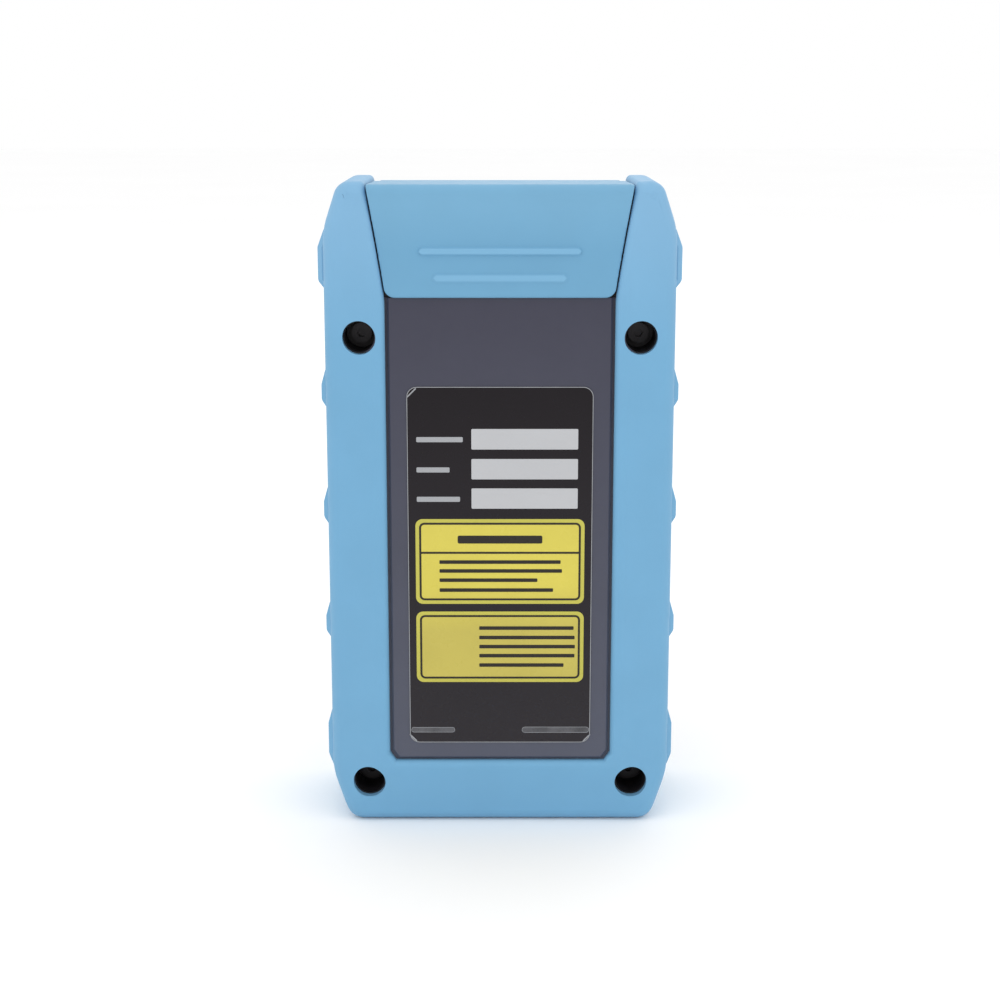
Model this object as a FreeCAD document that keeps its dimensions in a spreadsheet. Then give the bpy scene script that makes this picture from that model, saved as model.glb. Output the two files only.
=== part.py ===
"""Handheld optical time domain reflectometer: a rigid two-part case in a soft boot, with a hinged
dust flap over the fibre ports, a front keypad and screen, and the boards, cells and optics inside.

Frame: the tester stands upright on its flat base. +Z runs up its length, the screen faces +Y, the
rating label faces -Y, and the origin is the centre of the base. All lengths are millimetres.
"""
import FreeCAD, Part
import math
import os

import Sketcher
from FreeCAD import Placement, Rotation, Vector

SIZES = {
    # Outline seen from behind, and its section
    "half_width": 47.0, "overall_height": 178.0, "half_depth": 22.0,
    "corner_run": 5.0, "corner_rise": 14.3, "horn_run": 4.3, "horn_rise": 12.9,
    "bottom_round": 5.0, "top_round": 6.5, "side_round": 22.0,
    "pillar_width": 16.4, "pillar_flat": 2.9, "pillar_fall": 3.2, "foot_height": 16.6, "foot_fall": 2.7,
    "crease_round": 8.0, "back_round": 4.0, "front_round": 3.5,
    "boot_wall": 2.2, "boot_back": 2.2, "boot_front": 1.8, "boot_fit": 0.2,
    # Grip ridges down both sides of the boot
    "ridge_proud": 1.4, "ridge_pitch": 32.5, "ridge_length": 11.5, "ridge_step": 2.2,
    "ridge_crown": 5.0, "ridge_taper": 1.2, "ridge_round": 2.0, "ridge_back_gap": 7.6,
    "ridge_front_gap": 6.0, "ridge_drop": 49.5,
    "foot_ridge_top": 32.0, "foot_ridge_base": 18.0, "horn_length": 28.7, "horn_crown": 17.5,
    "horn_proud": 1.7, "ridge_bury": 3.0,
    # Openings of the boot
    "window_bottom": 18.7, "window_drop": 30.3, "window_cut_run": 1.7, "window_cut_rise": 2.4,
    "window_bend": 25.0,
    "horn_width": 11.3, "ear_width": 12.1, "lip_round": 1.4, "screen_rim": 6.0,
    "screen_bottom": 8.5, "screen_drop": 15.5, "screen_corner": 6.0, "curb_drop": 10.0,
    "curb_depth": 5.2, "boot_reach": 7.0,
    # Rigid case
    "case_wall": 2.2, "face_wall": 2.0, "split": 4.0, "case_round": 3.2, "inner_round": 1.0,
    "floor_drop": 11.6, "rear_wall": 3.2, "rear_wall_drop": 4.4, "flap_recess": 0.9,
    "panel_proud": 1.1, "panel_gap": 0.7, "panel_edge": 0.5, "panel_rise": 0.6,
    "screw_edge": 9.5, "screw_drop": 40.9, "low_screw_edge": 10.5, "low_screw": 12.3,
    "boot_hole": 4.5, "well_radius": 4.1, "well_depth": 12.0, "rear_boss": 5.4, "front_boss": 3.2,
    "screw_radius": 1.5, "screw_play": 0.2, "thread_play": 0.02, "screw_margin": 6.2,
    "screw_head": 2.8, "screw_head_height": 2.2, "screw_key": 1.25,
    "seal_inset": 0.7, "seal_width": 0.8, "seal_depth": 1.0, "seal_drop": 16.0,
    # Dust flap and its hinge
    "flap_drop": 0.6, "flap_fall": 0.8, "flap_gap": 0.4, "flap_plate": 3.0, "flap_rise": 0.37,
    "flap_leg": 2.7, "nose_radius": 4.0, "dish_depth": 1.1, "flap_corner": 3.0, "flap_round": 1.8,
    "dish_margin": 1.4, "dish_top": 2.3, "nose_notch": 8.0, "rib_height": 1.9, "upper_rib_rise": 11.93,
    "upper_rib_half": 21.5, "upper_rib_sink": 0.3, "lower_rib_rise": 4.93, "lower_rib_half": 17.7,
    "pin_radius": 1.0, "pin_edge": 7.0, "pin_play": 0.05,
    # Rating label
    "label_half": 25.0, "label_rise": 5.3, "label_height": 100.0, "label_corner": 2.7,
    "label_thick": 0.2,
    # Connector panel under the flap
    "port_edge": 2.9, "port_back_gap": 2.0, "port_front_gap": 1.2, "port_flange": 1.5,
    "port_flange_thick": 1.6, "port_play": 0.1,
    "ferrule_radius": 1.25, "flange_half": 6.5, "flange_thick": 1.6,
    "barrel_radius": 4.0, "barrel_height": 6.5, "barrel_wall": 0.9, "sleeve_radius": 1.9,
    "barrel_depth": 4.2, "body_radius": 4.6, "otdr_depth": 10.4, "bore_floor": 2.0,
    "flange_screw": 4.7, "small_screw": 1.0, "small_head": 1.8, "small_head_height": 1.2,
    "small_key": 0.6, "flange_screw_reach": 5.0,
    "port_floor": 1.0, "opm_collar": 6.4, "opm_height": 4.0, "opm_neck": 4.6, "port_depth": 6.4,
    "detector_radius": 4.1, "detector_height": 5.0, "detector_rim": 4.6, "detector_rim_height": 1.0,
    "vfl_edge": 8.1, "vfl_collar": 4.1, "vfl_height": 4.5, "vfl_neck": 3.2,
    "laser_radius": 3.2, "laser_height": 9.5,
    "jack_half": 7.95, "jack_depth_half": 6.7, "jack_proud": 0.4,
    "jack_slot_half": 5.85, "jack_slot_depth_half": 3.4, "jack_slot_deep": 14.0,
    "jack_tab_half": 3.1, "jack_tab_depth": 1.6, "usb_edge": 5.4, "usb_half": 4.5,
    "usb_depth_half": 1.6, "usb_proud": 0.3, "usb_wall": 0.35, "usb_deep": 6.5,
    "usb_flat": 0.05, "usb_tongue_half": 3.3, "usb_tongue_depth_half": 0.35, "usb_tongue_drop": 0.8,
    # Boards
    "board_thick": 1.6, "boss_gap": 0.6, "board_bottom": 6.5, "board_over": 4.0,
    "board_screw_edge": 3.2, "board_screw_low": 10.5, "board_screw_gap": 3.2, "board_boss": 2.3,
    "board_screw_reach": 4.2, "port_board_drop": 18.4, "port_board_edge": 2.0,
    "ledge_width": 3.0, "ledge_height": 3.0, "ledge_reach": 14.6, "port_board_gap": 4.6,
    "buzzer_edge": 8.2, "buzzer_z": 22.0, "buzzer_radius": 6.0, "buzzer_height": 3.5,
    "buzzer_hole": 1.2,
    # Screen
    "lens_rim": 2.1, "lens_drop": 21.1, "lens_gap": 6.1, "lens_thick": 1.2, "lens_corner": 3.0,
    "lens_play": 0.1, "lcd_inset": 6.9, "lcd_thick": 3.3, "view_inset": 3.0,
    "bezel_depth": 0.5, "bezel_inset": 2.2, "bracket_rim": 5.0, "bracket_thick": 1.9,
    # Keypad
    "key_proud": 1.0, "key_play": 0.3, "key_flange": 1.0, "key_flange_thick": 1.0,
    "key_seat_play": 0.2, "key_edge": 0.4, "pad_z": 48.0,
    "ok_radius": 6.5, "arrow_inner_half": 4.4, "arrow_inner": 8.0, "arrow_outer_half": 9.6,
    "arrow_outer": 16.0, "soft_key_half": 7.0, "soft_key_rise": 4.0, "soft_key_corner": 3.0,
    "key_column_edge": 17.0, "key_row_top": 77.0, "key_row_bottom": 20.0,
    "mat_edge": 1.0, "mat_under": 6.0, "mat_over": 8.0, "mat_thick": 1.2, "post_radius": 2.6,
    "post_gap": 0.8,
    # Cells and optical module
    "cell_radius": 9.25, "cell_length": 65.0, "cell_pitch": 19.2, "cell_rise": 4.0,
    "holder_base": 1.2, "holder_wall": 1.6, "holder_rise": 9.0, "cell_play": 0.1,
    "cell_cap_radius": 3.0, "cell_cap_height": 0.8, "cell_cap_root": 1.0,
    "module_gap": 1.0, "module_drop": 8.0, "module_clear": 5.9, "module_plate": 1.6,
    "module_margin": 5.0, "module_width": 54.0, "module_case": 11.5, "module_pad": 1.5,
    "module_pad_radius": 2.6,
    "module_screw_inset": 2.6, "module_screw_reach": 2.8, "screw_tip_gap": 0.4, "module_round": 1.5,
    "beyond": 5.0, "overcut": 1.0, "weld": 0.5,
    "fibre_radius": 0.45, "fibre_straight": 2.0, "fibre_exit": 6.5,
}

doc = FreeCAD.newDocument("otdr")
sheet = doc.addObject("Spreadsheet::Sheet", "Sizes")
NODES = []


class Dim:
    """A length known both as a number and as the sheet expression that gives it."""

    def __init__(self, value, text):
        self.value = float(value)
        self.text = text

    @staticmethod
    def of(item):
        return item if isinstance(item, Dim) else Dim(item, f"({item})")

    def _join(self, sign, other, value):
        return Dim(value, f"({self.text} {sign} {Dim.of(other).text})")

    def __add__(self, other):
        return self._join("+", other, self.value + Dim.of(other).value)

    def __sub__(self, other):
        return self._join("-", other, self.value - Dim.of(other).value)

    def __mul__(self, other):
        return self._join("*", other, self.value * Dim.of(other).value)

    def __truediv__(self, other):
        return self._join("/", other, self.value / Dim.of(other).value)

    def __radd__(self, other):
        return Dim.of(other) + self

    def __rsub__(self, other):
        return Dim.of(other) - self

    def __rmul__(self, other):
        return Dim.of(other) * self

    def __neg__(self):
        return Dim(-self.value, f"(0 - {self.text})")

    def root(self):
        return Dim(math.sqrt(self.value), f"sqrt({self.text})")


class SizeSheet:
    """Every driving size as a Dim, read by its alias."""

    def __init__(self, sizes):
        for row, (alias, value) in enumerate(sizes.items(), start=1):
            sheet.set(f"A{row}", alias)
            sheet.set(f"B{row}", str(value))
            sheet.setAlias(f"B{row}", alias)
            setattr(self, alias, Dim(value, f"Sizes.{alias}"))


S = SizeSheet(SIZES)
OVER, WELD = S.overcut, S.weld
NEAR = 0.1        # how near a place an edge lies to be picked there
LEVEL = 0.0001    # and how far it may stray from a level or an axis
doc.recompute()

# Places that follow from the sizes. Widths run out from the middle, heights up from the base, and
# depths out from the middle plane: a back one is given as its distance towards -Y.
WINDOW_HALF = S.half_width - S.pillar_width
WELL_HALF = S.half_width - S.horn_width
DECK_HALF = S.half_width - S.ear_width
PILLAR_START = WINDOW_HALF + S.pillar_flat
SCREEN_HALF = S.half_width - S.screen_rim
SCREW_HALF = S.half_width - S.screw_edge
LOW_SCREW_HALF = S.half_width - S.low_screw_edge
BOARD_HALF = LOW_SCREW_HALF - S.front_boss - S.boss_gap
BOARD_SCREW_HALF = BOARD_HALF - S.board_screw_edge
BUZZER_X = BOARD_HALF - S.buzzer_edge
LCD_HALF = BOARD_HALF
VIEW_HALF = LCD_HALF - S.view_inset
LENS_HALF = SCREEN_HALF - S.lens_rim
KEY_COLUMN = SCREEN_HALF - S.key_column_edge
MAT_HALF = BOARD_HALF - S.mat_edge
PIN_HALF = S.half_width - S.pin_edge
MODULE_LEFT = -(SCREW_HALF - S.rear_boss - S.module_gap)
MODULE_RIGHT = MODULE_LEFT + S.module_width
FAR = S.half_width + S.beyond

WINDOW_TOP = S.overall_height - S.window_drop
SCREEN_TOP = S.overall_height - S.screen_drop
SCREW_HIGH = S.overall_height - S.screw_drop
SEAL_TOP = S.overall_height - S.seal_drop
RIDGE_TOP = S.overall_height - S.ridge_drop
HORN_BASE = S.overall_height - S.horn_length
HORN_RIDGE_TOP = S.overall_height - S.horn_crown
HIGH = S.overall_height + S.beyond
TOP_FLOOR = S.overall_height - S.floor_drop
CURB_TOP = S.overall_height - S.curb_drop
REAR_WALL_TOP = S.overall_height - S.rear_wall_drop
FLAP_TOP = S.overall_height - S.flap_drop
FLAP_EDGE = WINDOW_TOP + S.flap_rise
UPPER_RIB_Z = FLAP_EDGE + S.upper_rib_rise
LOWER_RIB_Z = FLAP_EDGE + S.lower_rib_rise
HINGE_Z = FLAP_TOP - S.flap_fall - S.nose_radius
PANEL_LOW = TOP_FLOOR - S.case_wall
PORT_BOTTOM = TOP_FLOOR - S.port_depth
BARREL_TOP = TOP_FLOOR + S.barrel_height
OTDR_BOTTOM = TOP_FLOOR - S.otdr_depth
BORE_BOTTOM = OTDR_BOTTOM + S.bore_floor
PORT_BOARD_TOP = TOP_FLOOR - S.port_board_drop
BOARD_TOP = PORT_BOARD_TOP + S.board_over
MAT_TOP = S.key_row_top + S.mat_over
MAT_BOTTOM = S.key_row_bottom - S.mat_under
LENS_TOP = S.overall_height - S.lens_drop
LENS_BOTTOM = MAT_TOP + S.lens_gap
LCD_BOTTOM = LENS_BOTTOM + S.lcd_inset
LCD_TOP = LENS_TOP - S.lcd_inset
BOARD_SCREW_HIGH = MAT_TOP + S.board_screw_gap
CELL_BOTTOM = S.foot_height + S.cell_rise
HOLDER_LOW = CELL_BOTTOM - S.cell_play
HOLDER_HIGH = CELL_BOTTOM + S.cell_length + S.cell_cap_height + S.cell_play
MODULE_TOP = PORT_BOARD_TOP - S.module_drop
MODULE_BOTTOM = HOLDER_HIGH + S.holder_wall + S.module_clear
LABEL_BOTTOM = S.window_bottom + S.label_rise

CASE_BACK = S.half_depth - S.boot_back
CASE_FRONT = S.half_depth - S.boot_front
FACE_INNER = CASE_FRONT - S.face_wall
FLOOR_BACK = CASE_BACK - S.case_wall
RECESS_BACK = CASE_BACK - S.flap_recess
WELL_BACK = CASE_BACK - S.rear_wall
WELL_FLOOR = CASE_BACK - S.well_depth
MODULE_BACK = FLOOR_BACK - S.module_pad
MODULE_SEAT = MODULE_BACK - S.module_plate
MODULE_FRONT = MODULE_SEAT - S.module_case
FIBRE_EXIT = MODULE_SEAT - S.fibre_exit
LEDGE_FRONT = FLOOR_BACK - S.ledge_reach
PORT_BOARD_BACK = FLOOR_BACK - S.port_board_gap
RIDGE_BACK = S.half_depth - S.ridge_back_gap
RIDGE_FRONT = S.half_depth - S.ridge_front_gap
PANEL_FACE = CASE_BACK + S.panel_proud
DEEP = S.half_depth + S.beyond
HINGE_Y = S.half_depth - S.nose_radius
CURB_BACK = HINGE_Y - S.curb_depth
LCD_BACK = FACE_INNER - S.lcd_thick
BOARD_FRONT = LCD_BACK - S.bracket_thick
BOARD_BACK = BOARD_FRONT - S.board_thick
SCREW_END = FACE_INNER - S.screw_margin

# Ports evenly spread across the panel, on its middle line or just off it
PORT_HALF = DECK_HALF - S.port_edge
PORT_BACK = WELL_BACK - S.port_back_gap
PORT_FRONT = CURB_BACK - S.port_front_gap
PORT_Y = (PORT_FRONT - PORT_BACK) / 2
PORT_GAP = (PORT_HALF - S.flange_half - S.opm_collar - S.vfl_collar - S.jack_half) * 2 / 5
OTDR_X = -PORT_HALF + PORT_GAP + S.flange_half
OPM_X = OTDR_X + S.flange_half + PORT_GAP + S.opm_collar
VFL_X = OPM_X + S.opm_collar + PORT_GAP + S.vfl_collar
JACK_X = PORT_HALF - PORT_GAP - S.jack_half
VFL_Y = -PORT_BACK + S.vfl_edge
USB_Y = PORT_FRONT - S.usb_edge
PORT_BOARD_LEFT = VFL_X - S.usb_half - S.port_board_edge
PORT_BOARD_RIGHT = PORT_HALF


# ---------------------------------------------------------------- drawing and modelling helpers

def bind(thing, path, dim):
    """Drive one property of a document object by a Dim."""
    thing.setExpression(path, Dim.of(dim).text)


def circle(u, v, radius):
    return ("circle", Dim.of(u), Dim.of(v), Dim.of(radius))


def path(*corners):
    """A closed loop. Each corner is (u, v), or (u, v, radius, side) for an arc to the next corner,
    whose middle lies to the left (+1) or right (-1) of the way there."""
    return ("path", corners)


def rectangle(left, low, right, high, corner=None):
    if corner is None:
        return path((left, low), (right, low), (right, high), (left, high))
    left, low, right, high, corner = (Dim.of(d) for d in (left, low, right, high, corner))
    return path((left + corner, low), (right - corner, low, corner, -1),
                (right, low + corner), (right, high - corner, corner, -1),
                (right - corner, high), (left + corner, high, corner, -1),
                (left, high - corner), (left, low + corner, corner, -1))


def add_run(sketch, start, end, corner):
    """Draw the straight run or arc that starts at a corner. Gives its index and its two end codes."""
    if len(corner) == 2:
        return sketch.addGeometry(Part.LineSegment(start, end), False), 1, 2
    radius, side = corner[2].value, corner[3]
    chord = end - start
    across = Vector(-chord.y, chord.x, 0).normalize() * side
    reach = math.sqrt(max(radius ** 2 - (chord.Length / 2) ** 2, 0.0))
    centre = start + chord * 0.5 - across * reach
    first, last = (start, end) if side < 0 else (end, start)
    begin = math.atan2(first.y - centre.y, first.x - centre.x)
    finish = math.atan2(last.y - centre.y, last.x - centre.x)
    finish += 2 * math.pi if finish < begin else 0.0
    arc = Part.ArcOfCircle(Part.Circle(centre, Vector(0, 0, 1), radius), begin, finish)
    return (sketch.addGeometry(arc, False), *((1, 2) if side < 0 else (2, 1)))


def fix(sketch, kind, *where, dim):
    """Add one constraint and bind its value to the sheet."""
    index = sketch.addConstraint(Sketcher.Constraint(kind, *where, dim.value))
    bind(sketch, f"Constraints[{index}]", dim)


def add_path(sketch, corners, closed=True):
    """Draw a run from each corner to the next and bind every corner and radius of it."""
    corners = [(Dim.of(c[0]), Dim.of(c[1]), *([Dim.of(c[2]), c[3]] if len(c) == 4 else []))
               for c in corners]
    spots = [Vector(corner[0].value, corner[1].value, 0) for corner in corners]
    count = len(corners) if closed else len(corners) - 1
    runs = [add_run(sketch, spots[n], spots[(n + 1) % len(spots)], corners[n]) for n in range(count)]
    for number, (piece, begin, finish) in enumerate(runs):
        corner = corners[number]
        fix(sketch, "DistanceX", -1, 1, piece, begin, dim=corner[0])
        fix(sketch, "DistanceY", -1, 1, piece, begin, dim=corner[1])
        if len(corner) == 4:
            fix(sketch, "Radius", piece, dim=corner[2])
        if closed or number + 1 < count:
            following, after, _ = runs[(number + 1) % count]
            sketch.addConstraint(Sketcher.Constraint("Coincident", piece, finish, following, after))
    if not closed:
        fix(sketch, "DistanceX", -1, 1, piece, finish, dim=corners[-1][0])
        fix(sketch, "DistanceY", -1, 1, piece, finish, dim=corners[-1][1])


def add_circle(sketch, u, v, radius):
    centre = Vector(u.value, v.value, 0)
    ring = sketch.addGeometry(Part.Circle(centre, Vector(0, 0, 1), radius.value), False)
    fix(sketch, "Radius", ring, dim=radius)
    fix(sketch, "DistanceX", -1, 1, ring, 3, dim=u)
    fix(sketch, "DistanceY", -1, 1, ring, 3, dim=v)


def new_body(label, kept=True):
    body = doc.addObject("PartDesign::Body", label)
    body.Label = label
    if kept:
        NODES.append(body)
    return body


def draw(body, plane, level, loops):
    """A sketch of closed loops parallel to one of the body's own origin planes."""
    sketch = body.newObject("Sketcher::SketchObject", f"{body.Name}_sketch")
    origin = next(f for f in body.Origin.OriginFeatures if f.Role == f"{plane}_Plane")
    sketch.AttachmentSupport = [(origin, "")]
    sketch.MapMode = "FlatFace"
    level = Dim.of(level)
    bind(sketch, "AttachmentOffset.Base.z", -level if plane == "XZ" else level)
    for kind, *shape in loops:
        if kind == "circle":
            add_circle(sketch, *shape)
        else:
            add_path(sketch, *shape)
    return sketch


def extrude(body, kind, plane, low, high, loops):
    low, high = Dim.of(low), Dim.of(high)
    adds = kind == "Pad"
    starts_low = adds if plane != "XZ" else not adds
    before = body.Tip.Shape.Volume if body.Tip else 0.0
    feature = body.newObject(f"PartDesign::{kind}", f"{body.Name}_{kind.lower()}")
    feature.Profile = draw(body, plane, low if starts_low else high, loops)
    bind(feature, "Length", high - low)
    doc.recompute()
    change = feature.Shape.Volume - before
    if (change <= 0) if adds else (change >= 0):
        raise RuntimeError(f"{feature.Name} changes the volume by {change:.3f}")
    return feature


def pad(body, plane, low, high, *loops):
    return extrude(body, "Pad", plane, low, high, loops)


def pocket(body, plane, low, high, *loops):
    return extrude(body, "Pocket", plane, low, high, loops)


def edges_where(shape, wanted):
    return [f"Edge{n}" for n, edge in enumerate(shape.Edges, start=1) if wanted(edge)]


def dress(body, kind, size, wanted):
    """A fillet or chamfer on the edges of the body so far that the test picks."""
    base = body.Tip
    names = edges_where(base.Shape, wanted)
    if not names:
        raise RuntimeError(f"{body.Name}: no edge to {kind.lower()}")
    feature = body.newObject(f"PartDesign::{kind}", f"{body.Name}_{kind.lower()}")
    feature.Base = (base, names)
    bind(feature, "Radius" if kind == "Fillet" else "Size", size)
    doc.recompute()
    if "Invalid" in feature.State or feature.Shape.isNull():
        raise RuntimeError(f"{feature.Name} failed on {len(names)} edges")
    return feature


def runs_along(edge, axis):
    """True for a straight edge parallel to one axis."""
    if len(edge.Vertexes) < 2:
        return False
    way = edge.Vertexes[1].Point - edge.Vertexes[0].Point
    return way.Length > NEAR and way.cross(axis).Length < LEVEL


def lies_on(edge, axis, level):
    """True for an edge whose every point has the given coordinate along an axis."""
    spots = [edge.valueAt(edge.FirstParameter + part * (edge.LastParameter - edge.FirstParameter))
             for part in (0.0, 0.5, 1.0)]
    return all(abs(spot.dot(axis) - level) < LEVEL for spot in spots)


X, Y, Z = Vector(1, 0, 0), Vector(0, 1, 0), Vector(0, 0, 1)


def primitive(kind, label, sizes, place, turn=None, kept=True):
    """A Part primitive with its sizes and place bound to the sheet."""
    solid = doc.addObject(f"Part::{kind}", label)
    solid.Label = label
    if turn is not None:
        solid.Placement = Placement(Vector(), turn)
    for name, dim in sizes.items():
        bind(solid, name, dim)
    for name, dim in zip("xyz", place):
        bind(solid, f"Placement.Base.{name}", dim)
    if kept:
        NODES.append(solid)
    return solid


TO_FRONT = Rotation(X, -90)     # a cylinder's +Z axis turned to +Y
TO_BACK = Rotation(X, 90)       # and to -Y
TO_RIGHT = Rotation(Y, 90)      # and to +X


def join(kind, label, pieces, kept=True):
    """A Part boolean or compound of several objects."""
    result = doc.addObject(f"Part::{kind}", label)
    result.Label = label
    if kind == "Cut":
        result.Base, result.Tool = pieces
    elif kind == "MultiFuse":
        result.Shapes = pieces
    else:
        result.Links = pieces
    if kept:
        NODES.append(result)
    doc.recompute()
    return result


def facing(shape, edge):
    """The Y part of the outward normals beside an edge's middle, least first."""
    spot = edge.valueAt((edge.FirstParameter + edge.LastParameter) / 2)
    parts = []
    for face in shape.ancestorsOfType(edge, Part.Face):
        u, v = face.Surface.parameter(spot)
        parts.append(face.normalAt(u, v).y)
    return sorted(parts)


BACKWARD = -0.8     # the Y part of a normal that looks squarely back
SIDEWAYS = 0.3      # and the most that one to the side may have


def is_back_rim(shape, edge):
    parts = facing(shape, edge)
    return len(parts) == 2 and parts[0] < BACKWARD and abs(parts[1]) < SIDEWAYS


def is_front_rim(shape, edge):
    parts = facing(shape, edge)
    return len(parts) == 2 and parts[1] > -BACKWARD and abs(parts[0]) < SIDEWAYS


def is_back_crease(shape, edge):
    parts = facing(shape, edge)
    return len(parts) == 2 and parts[1] < BACKWARD and edge.Length > OVER.value


# ---------------------------------------------------------------- the outline that the shells share

def mirrored(*right):
    """A closed loop from its right half, told upwards."""
    return path(*right, *[(-x, z) for x, z in reversed(right)])


def slant(run, rise, inset):
    """Where a corner slant, set in by some distance, meets the end line and the side line."""
    stretch = (1 + run * run / (rise * rise)).root()
    end = S.half_width - run * (1 - inset / rise) - inset * stretch
    side = rise * (1 + inset * (stretch - 1) / run)
    return end, side


def outline(inset):
    """The tester's outline seen along Y, every side set in by the same distance."""
    inset = Dim.of(inset)
    side = S.half_width - inset
    foot, foot_side = slant(S.corner_run, S.corner_rise, inset)
    horn, horn_side = slant(S.horn_run, S.horn_rise, inset)
    top = S.overall_height - inset
    return mirrored((foot, inset), (side, foot_side), (side, S.overall_height - horn_side), (horn, top))


def cut_corner(half, low):
    """The two ends of the slanting cut at a lower corner of the rear window or its panel."""
    return (half - S.window_cut_run, low), (half, low + S.window_cut_rise)


def well_half_at(height):
    """Half the width of the flap's well, which widens towards the top."""
    widening = (WELL_HALF - WINDOW_HALF) / (S.overall_height - WINDOW_TOP)
    return WINDOW_HALF + (height - WINDOW_TOP) * widening


def well(low):
    """The flap's well from one height to above the top, as a trapezoid seen along Y."""
    return mirrored((well_half_at(low), low), (well_half_at(HIGH), HIGH))


def housing(body, inset, back, front):
    """The solid inside one shell's surface: outline, sloping pillars and sloping foot."""
    pad(body, "XZ", -back, front, outline(inset))
    slope = S.pillar_fall / (S.half_width - PILLAR_START)
    fallen = -back + slope * (FAR - PILLAR_START)
    pocket(body, "XY", -OVER, HIGH,
           path((PILLAR_START, -back), (FAR, -back), (FAR, fallen)),
           path((-PILLAR_START, -back), (-FAR, fallen), (-FAR, -back)))
    slope = S.foot_fall / S.foot_height
    pocket(body, "YZ", -FAR, FAR,
           path((-back, S.foot_height), (-back, -OVER),
                (-back + slope * (S.foot_height + OVER), -OVER)))


def round_corners(body, radius, low, high):
    """Round the outline's corners whose height lies in a band."""
    dress(body, "Fillet", radius,
          lambda edge: runs_along(edge, Y) and low < edge.CenterOfMass.z < high)


SCREW_SPOTS = [(side * half, height) for side in (-1, 1)
               for half, height in ((LOW_SCREW_HALF, S.low_screw), (SCREW_HALF, SCREW_HIGH))]


def make_ridges(boot):
    """Grip ridges: a crown on top and a 45 degree step below, under a horn at the very top."""
    side, root = S.half_width, S.half_width - S.ridge_bury
    crown, horn = S.half_width + S.ridge_proud, S.half_width + S.horn_proud
    tops = [RIDGE_TOP - S.ridge_pitch * n for n in range(3)]
    shapes = [[(root, top - S.ridge_length), (side, top - S.ridge_length),
               (crown, top - S.ridge_length + S.ridge_step), (crown, top - S.ridge_crown),
               (side, top), (root, top)] for top in tops]
    shapes.append([(root, S.corner_rise), (side, S.corner_rise), (crown, S.foot_ridge_base),
                   (crown, S.foot_ridge_top - S.ridge_crown), (side, S.foot_ridge_top),
                   (root, S.foot_ridge_top)])
    horn_top = S.overall_height - S.horn_rise
    shapes.append([(root, HORN_BASE), (side, HORN_BASE), (horn, HORN_BASE + S.ridge_step),
                   (horn, HORN_RIDGE_TOP), (side, horn_top), (root, horn_top)])
    loops = [path(*[(sign * x, z) for x, z in shape]) for shape in shapes for sign in (-1, 1)]
    pad(boot, "XZ", -RIDGE_BACK, RIDGE_FRONT, *loops)
    dress(boot, "Fillet", S.ridge_round,
          lambda edge: runs_along(edge, Y) and abs(edge.CenterOfMass.x) > side.value + NEAR)
    dress(boot, "Chamfer", S.ridge_taper,
          lambda edge: abs(edge.CenterOfMass.x) > side.value + NEAR
          and (lies_on(edge, Y, -RIDGE_BACK.value) or lies_on(edge, Y, RIDGE_FRONT.value)))


def make_boot():
    """The soft boot: a sleeve open over the rating label, the flap's well and the screen."""
    skin = new_body("boot_skin", kept=False)
    housing(skin, 0.0, S.half_depth, S.half_depth)
    top = S.overall_height.value
    round_corners(skin, S.bottom_round, -NEAR, NEAR)
    round_corners(skin, S.top_round, top - NEAR, top + NEAR)
    round_corners(skin, S.side_round, S.corner_rise.value / 2, top - S.horn_rise.value / 2)
    shape = skin.Tip.Shape
    dress(skin, "Fillet", S.crease_round, lambda edge: is_back_crease(shape, edge))
    back_shape = skin.Tip.Shape
    dress(skin, "Fillet", S.back_round, lambda edge: is_back_rim(back_shape, edge))
    front_shape = skin.Tip.Shape
    dress(skin, "Fillet", S.front_round, lambda edge: is_front_rim(front_shape, edge))
    make_ridges(skin)

    pocket(skin, "XZ", -DEEP, CURB_BACK,
           mirrored(*cut_corner(WINDOW_HALF, S.window_bottom), (WINDOW_HALF, WINDOW_TOP),
                    (well_half_at(HIGH), HIGH)))
    dress(skin, "Fillet", S.window_bend,
          lambda edge: runs_along(edge, Y) and abs(edge.CenterOfMass.z - WINDOW_TOP.value) < NEAR)
    pocket(skin, "XZ", CURB_BACK - OVER, DEEP, well(CURB_TOP))
    pocket(skin, "XZ", S.half_depth - S.boot_reach, DEEP,
           rectangle(-SCREEN_HALF, S.screen_bottom, SCREEN_HALF, SCREEN_TOP, S.screen_corner))
    lipped = skin.Tip.Shape
    dress(skin, "Fillet", S.lip_round,
          lambda edge: is_back_rim(lipped, edge) and edge.CenterOfMass.y < -WELL_BACK.value
          and abs(edge.CenterOfMass.x) < WELL_HALF.value and edge.CenterOfMass.z > S.foot_height.value)
    pocket(skin, "XZ", -DEEP, -WELL_FLOOR, *[circle(x, z, S.boot_hole) for x, z in SCREW_SPOTS])

    cavity = new_body("boot_cavity", kept=False)
    make_case_form(cavity, S.boot_wall, S.case_round - S.boot_fit)
    join("Cut", "boot", [skin, cavity])


# ---------------------------------------------------------------- the two rigid shells

def make_case_form(body, inset, corner):
    """The rigid case as one closed block, with the flap's well cut into its top."""
    housing(body, inset, CASE_BACK, CASE_FRONT)
    round_corners(body, corner, 0.0, S.overall_height.value)
    creased = body.Tip.Shape
    dress(body, "Fillet", S.crease_round, lambda edge: is_back_crease(creased, edge))
    shape = body.Tip.Shape
    dress(body, "Fillet", corner, lambda edge: is_back_rim(shape, edge))
    pocket(body, "XZ", -WELL_BACK, S.half_depth, well(TOP_FLOOR))
    pocket(body, "XZ", -S.half_depth, -WELL_BACK + WELD, well(REAR_WALL_TOP))


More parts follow.
